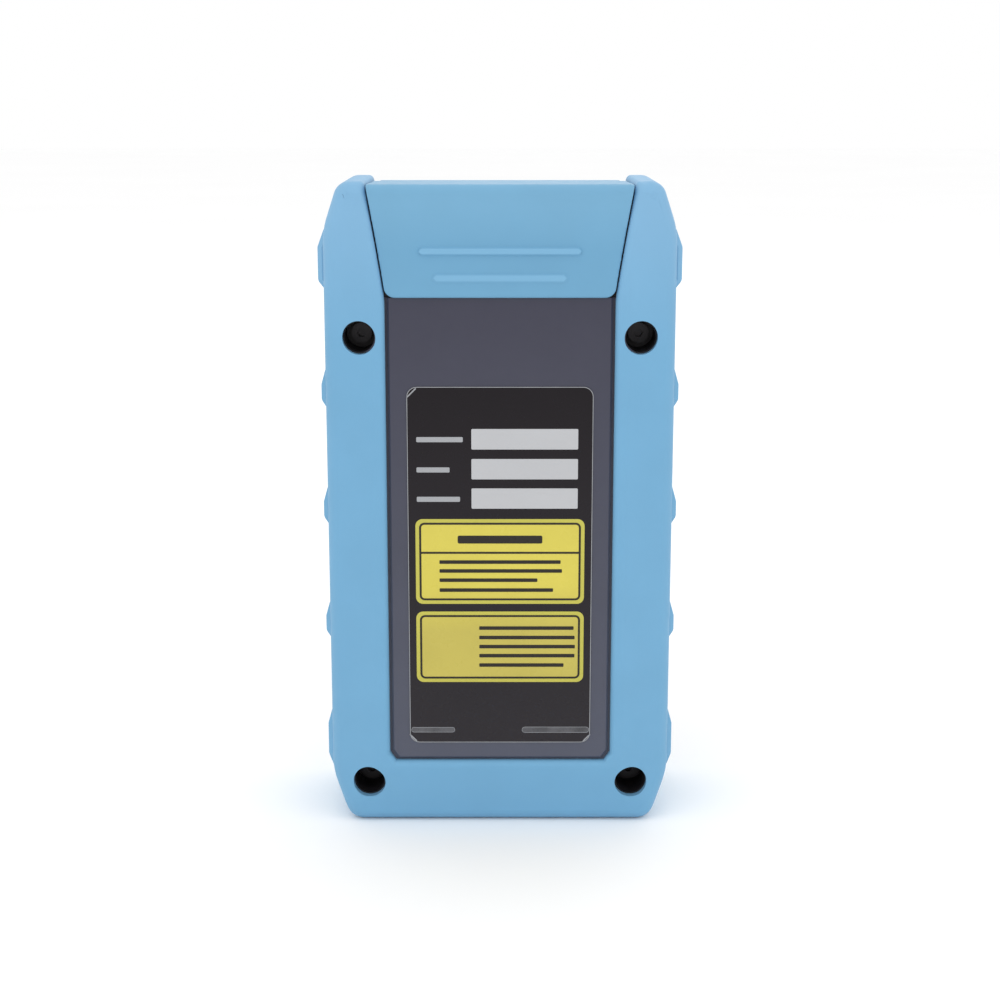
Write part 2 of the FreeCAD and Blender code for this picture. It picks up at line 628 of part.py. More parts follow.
def hollow(shell, low_y, high_y, boss):
    """Take the space inside the walls out of a shell, round its screw bosses, apart from the band
    that belongs to the other shell."""
    room = new_body(f"{shell.Name}_room", kept=False)
    inset = S.boot_wall + S.case_wall
    housing(room, inset, CASE_BACK - S.case_wall, CASE_FRONT - S.face_wall)
    round_corners(room, S.inner_round, 0.0, S.overall_height.value)
    pocket(room, "XZ", -DEEP, DEEP, rectangle(-FAR, PANEL_LOW, FAR, HIGH))
    pocket(room, "XZ", low_y, high_y, rectangle(-FAR, -OVER, FAR, HIGH))
    pocket(room, "XZ", -DEEP, DEEP, *[circle(x, z, boss) for x, z in SCREW_SPOTS])
    cut = shell.newObject("PartDesign::Boolean", f"{shell.Name}_hollow")
    cut.Type = "Cut"
    cut.setObjects([room])
    doc.recompute()


def port_opening(shell):
    """The hole in the case's top that the connector panel closes."""
    play = S.port_play
    pocket(shell, "XY", PANEL_LOW - OVER, TOP_FLOOR + OVER,
           rectangle(-PORT_HALF - play, -PORT_BACK - play, PORT_HALF + play, PORT_FRONT + play))


def make_rear_case():
    """The rear shell: raised label panel, screw wells with bosses, and the flap's recess."""
    shell = new_body("rear_case")
    make_case_form(shell, S.boot_wall, S.case_round)
    pocket(shell, "XZ", S.split, DEEP, rectangle(-FAR, -OVER, FAR, HIGH))
    hollow(shell, S.split, DEEP, S.rear_boss)
    ledge = PORT_BOARD_TOP - S.board_thick
    for edge in (PORT_BOARD_LEFT, PORT_BOARD_RIGHT - S.ledge_width):
        pad(shell, "XZ", -(FLOOR_BACK + WELD), -LEDGE_FRONT,
            rectangle(edge, ledge - S.ledge_height, edge + S.ledge_width, ledge))
    pad(shell, "XZ", -(FLOOR_BACK + WELD), -MODULE_BACK,
        *[circle(x, z, S.module_pad_radius) for x, z in MODULE_SCREWS])
    panel_half = WINDOW_HALF - S.panel_gap
    pad(shell, "XZ", -PANEL_FACE, -(CASE_BACK - WELD),
        mirrored(*cut_corner(panel_half, S.window_bottom + S.panel_rise), (panel_half, WINDOW_TOP)))
    dress(shell, "Chamfer", S.panel_edge, lambda edge: lies_on(edge, Y, -PANEL_FACE.value)
          and edge.CenterOfMass.z < WINDOW_TOP.value - NEAR)
    pocket(shell, "XZ", -(CASE_BACK + OVER), -RECESS_BACK, well(WINDOW_TOP))
    pocket(shell, "XZ", -S.half_depth, -WELL_FLOOR, *[circle(x, z, S.well_radius) for x, z in SCREW_SPOTS])
    hole = S.screw_radius + S.screw_play
    pocket(shell, "XZ", -WELL_FLOOR - OVER, S.split + OVER, *[circle(x, z, hole) for x, z in SCREW_SPOTS])
    pilot = S.small_screw + S.thread_play
    pocket(shell, "XZ", -MODULE_BACK - S.module_screw_reach, -MODULE_BACK + OVER,
           *[circle(x, z, pilot) for x, z in MODULE_SCREWS])
    port_opening(shell)


def make_front_case():
    """The front shell: screen and key openings, screw bosses and the ears that hold the hinge pin."""
    shell = new_body("front_case")
    make_case_form(shell, S.boot_wall, S.case_round)
    pocket(shell, "XZ", -DEEP, S.split, rectangle(-FAR, -OVER, FAR, HIGH))
    hollow(shell, -DEEP, S.split, S.front_boss)
    pad(shell, "XZ", BOARD_FRONT, FACE_INNER + WELD,
        *[circle(x, z, S.board_boss) for x, z in BOARD_SCREWS])
    thread = S.screw_radius + S.thread_play
    pocket(shell, "XZ", S.split - OVER, SCREW_END + WELD, *[circle(x, z, thread) for x, z in SCREW_SPOTS])
    pilot = S.small_screw + S.thread_play
    pocket(shell, "XZ", BOARD_FRONT - OVER, BOARD_BACK + S.board_screw_reach + WELD,
           *[circle(x, z, pilot) for x, z in BOARD_SCREWS])
    pocket(shell, "XZ", CASE_FRONT - S.lens_thick, CASE_FRONT + OVER,
           rectangle(-LENS_HALF - S.lens_play, LENS_BOTTOM - S.lens_play, LENS_HALF + S.lens_play,
                     LENS_TOP + S.lens_play, S.lens_corner))
    pocket(shell, "XZ", FACE_INNER - OVER, CASE_FRONT,
           rectangle(-VIEW_HALF, LCD_BOTTOM + S.view_inset, VIEW_HALF, LCD_TOP - S.view_inset))
    pocket(shell, "XZ", FACE_INNER - OVER, CASE_FRONT + OVER,
           *[moved(shape(S.key_play), place, turns) for place, shape, turns in KEYS.values()])
    pocket(shell, "YZ", -FAR, FAR, circle(HINGE_Y, HINGE_Z, S.pin_radius + S.thread_play))
    pocket(shell, "XZ", S.split - OVER, S.split + S.seal_depth, seal_loop())
    port_opening(shell)


def seal_loop():
    """The seal's channel: up one side of the split line, along the foot and up the other side."""
    def run(inset):
        foot, foot_side = slant(S.corner_run, S.corner_rise, inset)
        side = S.half_width - inset
        return [(side, SEAL_TOP), (side, foot_side), (foot, inset),
                (-foot, inset), (-side, foot_side), (-side, SEAL_TOP)]
    outer = S.boot_wall + S.seal_inset
    return path(*run(outer), *reversed(run(outer + S.seal_width)))


def make_case_seal():
    seal = new_body("case_seal")
    pad(seal, "XZ", S.split, S.split + S.seal_depth, seal_loop())


def screw(label, place, radius, reach, head, head_height, key, turn):
    """A socket-head screw whose shank leaves its head's underside along the turned +Z."""
    shank = primitive("Cylinder", f"{label}_shank", {"Radius": radius, "Height": reach}, place, turn, False)
    cap = primitive("Cylinder", f"{label}_head", {"Radius": head, "Height": head_height}, place, turn, False)
    back = turn.multVec(Z)
    behind = [p - head_height * float(round(c)) for p, c in zip(place, back)]
    for name, dim in zip("xyz", behind):
        bind(cap, f"Placement.Base.{name}", dim)
    socket = primitive("Prism", f"{label}_key", {"Circumradius": key, "Height": head_height / 2},
                       behind, turn, False)
    solid = join("MultiFuse", f"{label}_solid", [shank, cap], False)
    return join("Cut", f"{label}_cut", [solid, socket], False)


def screws(label, places, radius, reach, head, head_height, key, turn):
    """One node that holds a set of identical screws as separate solids."""
    each = [screw(f"{label}_{n}", place, radius, reach, head, head_height, key, turn)
            for n, place in enumerate(places)]
    join("Compound", label, each)


def make_case_screws():
    places = [(x, -WELL_FLOOR, z) for x, z in SCREW_SPOTS]
    screws("case_screws", places, S.screw_radius, SCREW_END + WELL_FLOOR, S.screw_head,
           S.screw_head_height, S.screw_key, TO_FRONT)


def make_rating_label():
    """A thin flat sticker on the rear shell's raised panel."""
    label = new_body("rating_label")
    pad(label, "XZ", -(PANEL_FACE + S.label_thick), -PANEL_FACE,
        rectangle(-S.label_half, LABEL_BOTTOM, S.label_half, LABEL_BOTTOM + S.label_height,
                  S.label_corner))


# ---------------------------------------------------------------- dust flap and hinge

def slot_shape(half_length, height, half_height):
    """A rib's outline: a straight bar with round ends."""
    straight = half_length - half_height
    return path((-straight, height - half_height), (straight, height - half_height, half_height, -1),
                (straight, height + half_height), (-straight, height + half_height, half_height, -1))


def make_dust_flap():
    """The flap: a round nose about the pin, a flat plate, and a dished leg with two grip ribs."""
    flap = new_body("dust_flap")
    back, inner = S.half_depth, S.half_depth - S.flap_leg
    under = FLAP_TOP - S.flap_plate
    drop = under - HINGE_Z
    nose_back = HINGE_Y - (S.nose_radius * S.nose_radius - drop * drop).root()
    dish_low, dish_high = FLAP_EDGE + S.dish_margin, FLAP_TOP - S.dish_top
    chord = dish_high - dish_low
    dish_radius = (chord * chord / 4 + S.dish_depth * S.dish_depth) / (2 * S.dish_depth)
    wide = WELL_HALF
    pad(flap, "YZ", -wide, wide,
        path((-inner, FLAP_EDGE), (-inner, under), (nose_back, under, S.nose_radius, -1),
             (HINGE_Y, HINGE_Z - S.nose_radius, S.nose_radius, -1),
             (HINGE_Y + S.nose_radius, HINGE_Z, S.nose_radius, -1), (HINGE_Y, HINGE_Z + S.nose_radius),
             (-back, FLAP_TOP), (-back, dish_high, dish_radius, 1), (-back, dish_low),
             (-back, FLAP_EDGE)))
    low = FLAP_EDGE - OVER
    side = [(well_half_at(low) - S.flap_gap, low), (FAR, low), (FAR, HIGH),
            (well_half_at(HIGH) - S.flap_gap, HIGH)]
    pocket(flap, "XZ", -DEEP, DEEP, path(*side), path(*[(-x, z) for x, z in reversed(side)]))
    nose_low = HINGE_Z - S.nose_radius
    nose_half, notch = well_half_at(nose_low) - S.flap_gap, HINGE_Y - S.nose_notch
    pocket(flap, "XY", nose_low - OVER, HIGH, rectangle(nose_half, notch, FAR, DEEP),
           rectangle(-FAR, notch, -nose_half, DEEP))
    dress(flap, "Fillet", S.flap_corner,
          lambda edge: runs_along(edge, Y) and edge.CenterOfMass.z < FLAP_EDGE.value + NEAR)
    dress(flap, "Fillet", S.flap_round, lambda edge: lies_on(edge, Y, -back.value)
          and lies_on(edge, Z, FLAP_TOP.value))
    half = S.rib_height / 2
    root = -(inner + WELD)
    pad(flap, "XZ", S.upper_rib_sink - back, root, slot_shape(S.upper_rib_half, UPPER_RIB_Z, half))
    pad(flap, "XZ", -back, root, slot_shape(S.lower_rib_half, LOWER_RIB_Z, half))
    pocket(flap, "YZ", -wide, wide, circle(HINGE_Y, HINGE_Z, S.pin_radius + S.pin_play))


def make_hinge_pin():
    primitive("Cylinder", "hinge_pin", {"Radius": S.pin_radius, "Height": PIN_HALF * 2},
              (-PIN_HALF, HINGE_Y, HINGE_Z), TO_RIGHT)


# ---------------------------------------------------------------- connector panel under the flap

FLANGE_SCREWS = [(OTDR_X - S.flange_screw, PORT_Y + S.flange_screw),
                 (OTDR_X + S.flange_screw, PORT_Y - S.flange_screw)]


def make_connector_panel():
    """The plate that closes the case's top, with a flange inside and a hole for each port."""
    panel = new_body("connector_panel")
    lip = S.port_flange
    pad(panel, "XY", PANEL_LOW, TOP_FLOOR,
        rectangle(-PORT_HALF, -PORT_BACK, PORT_HALF, PORT_FRONT))
    pad(panel, "XY", PANEL_LOW - S.port_flange_thick, PANEL_LOW,
        rectangle(-PORT_HALF - lip, -PORT_BACK - lip, PORT_HALF + lip, PORT_FRONT + lip))
    play = S.port_play
    holes = [circle(OTDR_X, PORT_Y, S.body_radius + play), circle(OPM_X, PORT_Y, S.opm_neck + play),
             circle(VFL_X, VFL_Y, S.vfl_neck + play)]
    holes += [circle(x, y, S.small_screw + S.thread_play) for x, y in FLANGE_SCREWS]
    half, deep = S.jack_half + play, S.jack_depth_half + play
    holes.append(rectangle(JACK_X - half, PORT_Y - deep, JACK_X + half, PORT_Y + deep))
    half, deep = S.usb_half + play, S.usb_depth_half + play
    holes.append(rectangle(VFL_X - half, USB_Y - deep, VFL_X + half, USB_Y + deep,
                           S.usb_depth_half))
    pocket(panel, "XY", PANEL_LOW - S.port_flange_thick - OVER, TOP_FLOOR + OVER, *holes)


def make_otdr_adapter():
    """Screw-on fibre adapter: square flange, round barrel, and a ferrule sleeve down its middle."""
    adapter = new_body("otdr_adapter")
    x, y, half = OTDR_X, PORT_Y, S.flange_half
    pad(adapter, "XY", TOP_FLOOR, TOP_FLOOR + S.flange_thick,
        rectangle(x - half, y - half, x + half, y + half))
    pad(adapter, "XY", OTDR_BOTTOM, TOP_FLOOR, circle(x, y, S.body_radius))
    pad(adapter, "XY", TOP_FLOOR, BARREL_TOP, circle(x, y, S.barrel_radius))
    pocket(adapter, "XY", BARREL_TOP - S.barrel_depth, BARREL_TOP + OVER,
           circle(x, y, S.barrel_radius - S.barrel_wall), circle(x, y, S.sleeve_radius))
    pocket(adapter, "XY", BORE_BOTTOM, BARREL_TOP + OVER, circle(x, y, S.ferrule_radius))
    pocket(adapter, "XY", TOP_FLOOR - OVER, BARREL_TOP,
           *[circle(u, v, S.small_screw + S.screw_play) for u, v in FLANGE_SCREWS])


def make_adapter_screws():
    places = [(x, y, TOP_FLOOR + S.flange_thick) for x, y in FLANGE_SCREWS]
    screws("adapter_screws", places, S.small_screw, S.flange_screw_reach, S.small_head,
           S.small_head_height, S.small_key, Rotation(X, 180))


def make_round_port(label, x, y, collar, height, neck):
    """A round port: collar on the panel, neck through it, and a bore for a bare ferrule."""
    port = new_body(label)
    bottom, top = PORT_BOTTOM, TOP_FLOOR + height
    pad(port, "XY", TOP_FLOOR, top, circle(x, y, collar))
    pad(port, "XY", bottom, TOP_FLOOR, circle(x, y, neck))
    pocket(port, "XY", bottom + S.port_floor, top + OVER, circle(x, y, S.ferrule_radius))
    dress(port, "Chamfer", S.key_edge, lambda edge: lies_on(edge, Z, top.value)
          and edge.Length > 2 * math.pi * (collar.value - NEAR))


def make_opm_detector():
    """The photodiode can behind the power meter's port, on its wider rim."""
    can = new_body("opm_detector")
    top = PORT_BOTTOM
    pad(can, "XY", top - S.detector_height, top, circle(OPM_X, PORT_Y, S.detector_radius))
    pad(can, "XY", top - S.detector_height, top - S.detector_height + S.detector_rim_height,
        circle(OPM_X, PORT_Y, S.detector_rim))


def make_vfl_laser():
    primitive("Cylinder", "vfl_laser", {"Radius": S.laser_radius, "Height": S.laser_height},
              (VFL_X, VFL_Y, PORT_BOTTOM - S.laser_height))


def make_network_jack():
    """An upright eight-way jack: a block with a mouth and the notch for the plug's latch."""
    jack = new_body("rj45_jack")
    x, y = JACK_X, PORT_Y
    top = TOP_FLOOR + S.jack_proud
    pad(jack, "XY", PORT_BOARD_TOP, top,
        rectangle(x - S.jack_half, y - S.jack_depth_half, x + S.jack_half, y + S.jack_depth_half))
    mouth = S.jack_slot_depth_half
    pocket(jack, "XY", top - S.jack_slot_deep, top + OVER,
           rectangle(x - S.jack_slot_half, y - mouth, x + S.jack_slot_half, y + mouth))
    pocket(jack, "XY", top - S.jack_slot_deep, top + OVER,
           rectangle(x - S.jack_tab_half, y + mouth - WELD,
                     x + S.jack_tab_half, y + mouth + S.jack_tab_depth))


def make_usb_port():
    """An upright USB-C receptacle: a flat tube with round sides round a thin tongue."""
    port = new_body("usb_port")
    x, y, half, deep = VFL_X, USB_Y, S.usb_half, S.usb_depth_half
    top = TOP_FLOOR + S.usb_proud

    def flat(inset):
        reach = half - inset
        return rectangle(x - reach, y - deep + inset, x + reach, y + deep - inset, deep - inset - S.usb_flat)

    pad(port, "XY", PORT_BOARD_TOP, top, flat(Dim.of(0.0)))
    pocket(port, "XY", top - S.usb_deep, top + OVER, flat(S.usb_wall))
    thin = S.usb_tongue_depth_half
    pad(port, "XY", top - S.usb_deep - WELD, top - S.usb_tongue_drop,
        rectangle(x - S.usb_tongue_half, y - thin, x + S.usb_tongue_half, y + thin))


def block(label, low, high):
    size = {"Length": high[0] - low[0], "Width": high[1] - low[1], "Height": high[2] - low[2]}
    return primitive("Box", label, size, low)


# ---------------------------------------------------------------- boards

BOARD_SCREWS = [(side * BOARD_SCREW_HALF, height)
                for height in (S.board_screw_low, BOARD_SCREW_HIGH) for side in (-1, 1)]


def make_port_board():
    """The small board that carries the two upright sockets, level across the case."""
    block("port_board", (PORT_BOARD_LEFT, -PORT_BOARD_BACK, PORT_BOARD_TOP - S.board_thick),
          (PORT_BOARD_RIGHT, BOARD_BACK, PORT_BOARD_TOP))


def make_main_board():
    board = new_body("main_board")
    pad(board, "XZ", BOARD_BACK, BOARD_FRONT,
        rectangle(-BOARD_HALF, S.board_bottom, BOARD_HALF, BOARD_TOP))
    hole = S.small_screw + S.screw_play
    pocket(board, "XZ", BOARD_BACK - OVER, BOARD_FRONT + OVER,
           *[circle(x, z, hole) for x, z in BOARD_SCREWS])


def make_board_screws():
    places = [(x, BOARD_BACK, z) for x, z in BOARD_SCREWS]
    screws("board_screws", places, S.small_screw, S.board_screw_reach, S.small_head,
           S.small_head_height, S.small_key, TO_FRONT)


def make_buzzer():
    buzzer = new_body("buzzer")
    back = BOARD_BACK - S.buzzer_height
    pad(buzzer, "XZ", back, BOARD_BACK, circle(BUZZER_X, S.buzzer_z, S.buzzer_radius))
    pocket(buzzer, "XZ", back - OVER, back + S.buzzer_height / 2,
           circle(BUZZER_X, S.buzzer_z, S.buzzer_hole))


# ---------------------------------------------------------------- screen

def make_screen_lens():
    lens = new_body("screen_lens")
    pad(lens, "XZ", CASE_FRONT - S.lens_thick, CASE_FRONT,
        rectangle(-LENS_HALF, LENS_BOTTOM, LENS_HALF, LENS_TOP, S.lens_corner))


def make_lcd_module():
    """The display: a metal-backed block with its glass set into the front of the frame."""
    lcd = new_body("lcd_module")
    pad(lcd, "XZ", LCD_BACK, FACE_INNER, rectangle(-LCD_HALF, LCD_BOTTOM, LCD_HALF, LCD_TOP))
    inset = S.bezel_inset
    pocket(lcd, "XZ", FACE_INNER - S.bezel_depth, FACE_INNER + OVER,
           rectangle(inset - LCD_HALF, LCD_BOTTOM + inset, LCD_HALF - inset, LCD_TOP - inset))


def make_lcd_bracket():
    """The frame that spaces the display off the main board."""
    bracket = new_body("lcd_bracket")
    rim = S.bracket_rim
    pad(bracket, "XZ", BOARD_FRONT, LCD_BACK, rectangle(-LCD_HALF, LCD_BOTTOM, LCD_HALF, LCD_TOP))
    pocket(bracket, "XZ", BOARD_FRONT - OVER, LCD_BACK + OVER,
           rectangle(2 * rim - LCD_HALF, LCD_BOTTOM + rim, LCD_HALF - 2 * rim, LCD_TOP - rim))


# ---------------------------------------------------------------- keypad

def moved(loop, place, turns=0):
    """A loop turned clockwise by quarter turns about the origin, seen from behind, and shifted."""
    kind, *shape = loop
    corners = [shape] if kind == "circle" else shape[0]
    result = []
    for u, v, *rest in corners:
        for _ in range(turns):
            u, v = v, -u
        result.append((u + place[0], v + place[1], *rest))
    return (kind, *result[0]) if kind == "circle" else (kind, result)


def round_key(grow):
    return circle(0.0, 0.0, S.ok_radius + grow)


def soft_key(grow):
    half, rise = S.soft_key_half + grow, S.soft_key_rise + grow
    return rectangle(-half, -rise, half, rise, S.soft_key_corner + grow)


def arrow_key(grow):
    """The upward arrow key of the ring about OK, between two arcs about OK's centre."""
    inner_half, inner = S.arrow_inner_half + grow, S.arrow_inner - grow
    outer_half, outer = S.arrow_outer_half + grow, S.arrow_outer + grow
    shoulder = (outer * outer - outer_half * outer_half).root()
    inner_radius = (inner * inner + inner_half * inner_half).root()
    return path((-inner_half, inner), (-outer_half, shoulder, outer, 1), (outer_half, shoulder),
                (inner_half, inner, inner_radius, -1))


CENTRE = Dim.of(0.0)
KEYS = {
    "start_key": ((-KEY_COLUMN, S.key_row_top), soft_key, 0),
    "menu_key": ((CENTRE, S.key_row_top), soft_key, 0),
    "vfl_key": ((KEY_COLUMN, S.key_row_top), soft_key, 0),
    "up_key": ((CENTRE, S.pad_z), arrow_key, 0),
    "right_key": ((CENTRE, S.pad_z), arrow_key, 1),
    "down_key": ((CENTRE, S.pad_z), arrow_key, 2),
    "left_key": ((CENTRE, S.pad_z), arrow_key, 3),
    "ok_key": ((CENTRE, S.pad_z), round_key, 0),
    "power_key": ((-KEY_COLUMN, S.key_row_bottom), soft_key, 0),
    "back_key": ((KEY_COLUMN, S.key_row_bottom), soft_key, 0),
}
FLANGE_FRONT = FACE_INNER - S.key_seat_play


def make_key(label, place, shape, turns):
    """A key: its cap through the front shell and a flange behind it that keeps it in."""
    key = new_body(label)
    key.Placement = Placement(Vector(), Rotation(Y, 90 * turns))
    for axis, dim in zip("xz", place):
        bind(key, f"Placement.Base.{axis}", dim)
    crown = CASE_FRONT + S.key_proud
    pad(key, "XZ", FLANGE_FRONT - S.key_flange_thick, FLANGE_FRONT, shape(S.key_flange))
    pad(key, "XZ", FLANGE_FRONT, crown, shape(CENTRE))
    dress(key, "Chamfer", S.key_edge, lambda edge: lies_on(edge, Y, crown.value))


def key_post(place, shape, turns):
    """The round post on the mat behind the middle of a key's cap."""
    reach = (S.arrow_inner + S.arrow_outer) / 2 if shape is arrow_key else CENTRE
    return moved(circle(0.0, reach, S.post_radius), place, turns)


def make_keypad_mat():
    """The silicone mat on the main board, with a post under every key."""
    mat = new_body("keypad_mat")
    back = BOARD_FRONT
    pad(mat, "XZ", back, back + S.mat_thick,
        rectangle(-MAT_HALF, MAT_BOTTOM, MAT_HALF, MAT_TOP))
    crest = FLANGE_FRONT - S.key_flange_thick - S.post_gap
    pad(mat, "XZ", back + S.mat_thick, crest, *[key_post(*key) for key in KEYS.values()])


# ---------------------------------------------------------------- cells and optical module

MODULE_SCREWS = [(x, z) for x in (MODULE_LEFT + S.module_screw_inset, MODULE_RIGHT - S.module_screw_inset)
                 for z in (MODULE_BOTTOM + S.module_screw_inset, MODULE_TOP - S.module_screw_inset)]
CELL_COUNT = 3


def make_cell_holder():
    """The open tray on the rear shell's floor that locates the cells."""
    holder = new_body("cell_holder")
    half = S.cell_pitch * (CELL_COUNT - 1) / 2 + S.cell_radius + S.cell_play
    wall = S.holder_wall
    pad(holder, "XZ", -FLOOR_BACK, S.holder_rise - FLOOR_BACK,
        rectangle(-half - wall, HOLDER_LOW - wall, half + wall, HOLDER_HIGH + wall))
    pocket(holder, "XZ", S.holder_base - FLOOR_BACK, 0.0, rectangle(-half, HOLDER_LOW, half, HOLDER_HIGH))


def make_cells():
    """Round cells side by side, each with its raised contact."""
    axis_y = -(FLOOR_BACK - S.holder_base - S.cell_radius - S.cell_play)
    cells = []
    for number in range(CELL_COUNT):
        x = S.cell_pitch * (number - (CELL_COUNT - 1) / 2)
        can = primitive("Cylinder", f"cell_can_{number}", {"Radius": S.cell_radius, "Height": S.cell_length},
                        (x, axis_y, CELL_BOTTOM), kept=False)
        cap = primitive("Cylinder", f"cell_cap_{number}",
                        {"Radius": S.cell_cap_radius, "Height": S.cell_cap_height + S.cell_cap_root},
                        (x, axis_y, CELL_BOTTOM + S.cell_length - S.cell_cap_root), kept=False)
        cells.append(join("MultiFuse", f"cell_{number}", [can, cap], False))
    join("Compound", "battery_cells", cells)


def make_optical_module():
    """The laser and receiver block: a foot plate screwed to the shell under a lidded metal case."""
    module = new_body("optical_module")
    left, right, low, high = MODULE_LEFT, MODULE_RIGHT, MODULE_BOTTOM, MODULE_TOP
    plate = -(MODULE_BACK - S.module_plate)
    pad(module, "XZ", -MODULE_BACK, plate, rectangle(left, low, right, high))
    inset = S.module_margin
    pad(module, "XZ", plate, -MODULE_FRONT,
        rectangle(left + inset, low + inset, right - inset, high - inset, S.module_round))
    pocket(module, "XZ", -MODULE_BACK - OVER, plate + OVER,
           *[circle(x, z, S.small_screw + S.screw_play) for x, z in MODULE_SCREWS])


def make_module_screws():
    seat = -(MODULE_BACK - S.module_plate)
    places = [(x, seat, z) for x, z in MODULE_SCREWS]
    reach = S.module_plate + S.module_screw_reach - S.screw_tip_gap
    screws("module_screws", places, S.small_screw, reach, S.small_head, S.small_head_height, S.small_key,
           TO_BACK)


def make_fibre_pigtail():
    """The buffered fibre from the module's top to the adapter, in one gentle S."""
    fibre = new_body("fibre_pigtail")
    start_z, end_z = MODULE_TOP - S.module_margin, OTDR_BOTTOM
    start_y, end_y = -FIBRE_EXIT, PORT_Y
    low, high = start_z + S.fibre_straight, end_z - S.fibre_straight
    middle = ((start_y + end_y) / 2, (low + high) / 2)
    across, along = (end_y - start_y) / 2, (high - low) / 2
    radius = (across * across + along * along) / (2 * across)
    route = draw(fibre, "YZ", OTDR_X, [])
    add_path(route, [(start_y, start_z), (start_y, low, radius, 1), (*middle, radius, -1),
                     (end_y, high), (end_y, end_z)], closed=False)
    profile = draw(fibre, "XY", start_z, [circle(OTDR_X, start_y, S.fibre_radius)])
    pipe = fibre.newObject("PartDesign::AdditivePipe", "fibre_pigtail_pipe")
    pipe.Profile = profile
    pipe.Spine = (route, [])
    doc.recompute()


# ---------------------------------------------------------------- build, check and write

def build():
    make_boot()
    make_rear_case()
    make_front_case()
    make_case_seal()
    make_case_screws()
    make_rating_label()
    make_dust_flap()
    make_hinge_pin()
    make_connector_panel()
    make_otdr_adapter()
    make_adapter_screws()
    make_round_port("opm_adapter", OPM_X, PORT_Y, S.opm_collar, S.opm_height, S.opm_neck)
    make_round_port("vfl_adapter", VFL_X, VFL_Y, S.vfl_collar, S.vfl_height, S.vfl_neck)
    make_opm_detector()
    make_vfl_laser()
    make_network_jack()
    make_usb_port()
    make_port_board()
    make_main_board()
    make_board_screws()
    make_buzzer()
    make_screen_lens()
    make_lcd_module()
    make_lcd_bracket()
    for name, key in KEYS.items():
        make_key(name, *key)
    make_keypad_mat()
    make_cell_holder()
    make_cells()
    make_optical_module()
    make_module_screws()
    make_fibre_pigtail()
    doc.recompute()


def check_and_write():
    """Stop on any failed object or shape, then write one file for each sub-part."""
    for thing in doc.Objects:
        if "Invalid" in thing.State or "Error" in thing.State:
            raise RuntimeError(f"{thing.Label} failed: {thing.State}")
    for node in NODES:
        if node.Shape.isNull() or not node.Shape.isValid() or not node.Shape.Solids:
            raise RuntimeError(f"{node.Label} has no valid shape")
    os.makedirs("parts", exist_ok=True)
    for node in NODES:
        node.Shape.exportStep(f"parts/{node.Label}.step")
        print(f"{node.Label}: {len(node.Shape.Solids)} solid(s), {node.Shape.Volume:.1f} mm3")


build()
check_and_write()
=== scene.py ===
"""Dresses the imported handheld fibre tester: soft boot, dust flap, label, ports, screen and keypad.

Every length is in metres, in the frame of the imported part: +Z up the tester's length, the screen
towards +Y and the rating label towards -Y.
"""
import logging
import math
from dataclasses import dataclass, field
from enum import Enum
from functools import cache

import bmesh
import bpy
from mathutils import Matrix, Vector


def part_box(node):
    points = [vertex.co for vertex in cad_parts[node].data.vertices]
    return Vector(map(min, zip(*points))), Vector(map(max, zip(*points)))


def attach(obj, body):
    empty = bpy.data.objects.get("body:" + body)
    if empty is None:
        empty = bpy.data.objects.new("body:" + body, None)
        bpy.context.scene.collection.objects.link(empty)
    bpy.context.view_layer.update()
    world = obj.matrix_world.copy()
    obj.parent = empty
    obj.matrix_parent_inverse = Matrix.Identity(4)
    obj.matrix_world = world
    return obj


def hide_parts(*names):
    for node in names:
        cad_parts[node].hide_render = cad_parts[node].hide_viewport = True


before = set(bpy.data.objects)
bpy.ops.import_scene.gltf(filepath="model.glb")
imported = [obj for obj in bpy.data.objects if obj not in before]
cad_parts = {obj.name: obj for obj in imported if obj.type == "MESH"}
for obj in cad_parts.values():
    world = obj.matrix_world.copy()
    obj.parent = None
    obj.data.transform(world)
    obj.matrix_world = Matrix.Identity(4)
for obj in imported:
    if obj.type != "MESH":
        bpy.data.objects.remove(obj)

LOG = logging.getLogger("tester")
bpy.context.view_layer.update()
Socket = bpy.types.NodeSocket
Triple = tuple[float, float, float]
Colour = tuple[int, int, int]

# A display's colour curve: a straight toe, then a power.
WHITE, TOE_END, TOE_SLOPE, CURVE_LIFT, CURVE_POWER = 255, 0.04045, 12.92, 0.055, 2.4

# Where a noise pattern's values mostly lie.
PATTERN_RANGE = (0.3, 0.7)
EVEN = (1.0, 1.0, 1.0)

# Corners nearer than this are joined, in a new piece and in a node's mesh.
NEW_WELD, NODE_WELD = 1e-7, 1e-6

# Faces that turn less, in degrees, are one flat. Shorter edges are slivers.
FLAT_TURN, SLIVER = 0.5, 2e-6

# Edges that turn less, in degrees, are shaded smooth.
SMOOTH_TURN = 35.0
QUARTER_TURN, HALF_TURN = 90.0, 180.0


# -------------------------------- finishes

def linear(colour: Colour) -> Triple:
    """Turns a display colour into the linear one that a shader takes."""
    parts = [value / WHITE for value in colour]
    return tuple(part / TOE_SLOPE if part <= TOE_END
                 else ((part + CURVE_LIFT) / (1 + CURVE_LIFT)) ** CURVE_POWER for part in parts)


def opaque(colour: Colour) -> tuple[float, float, float, float]:
    """Gives a display colour as a linear one with full alpha."""
    return (*linear(colour), 1.0)


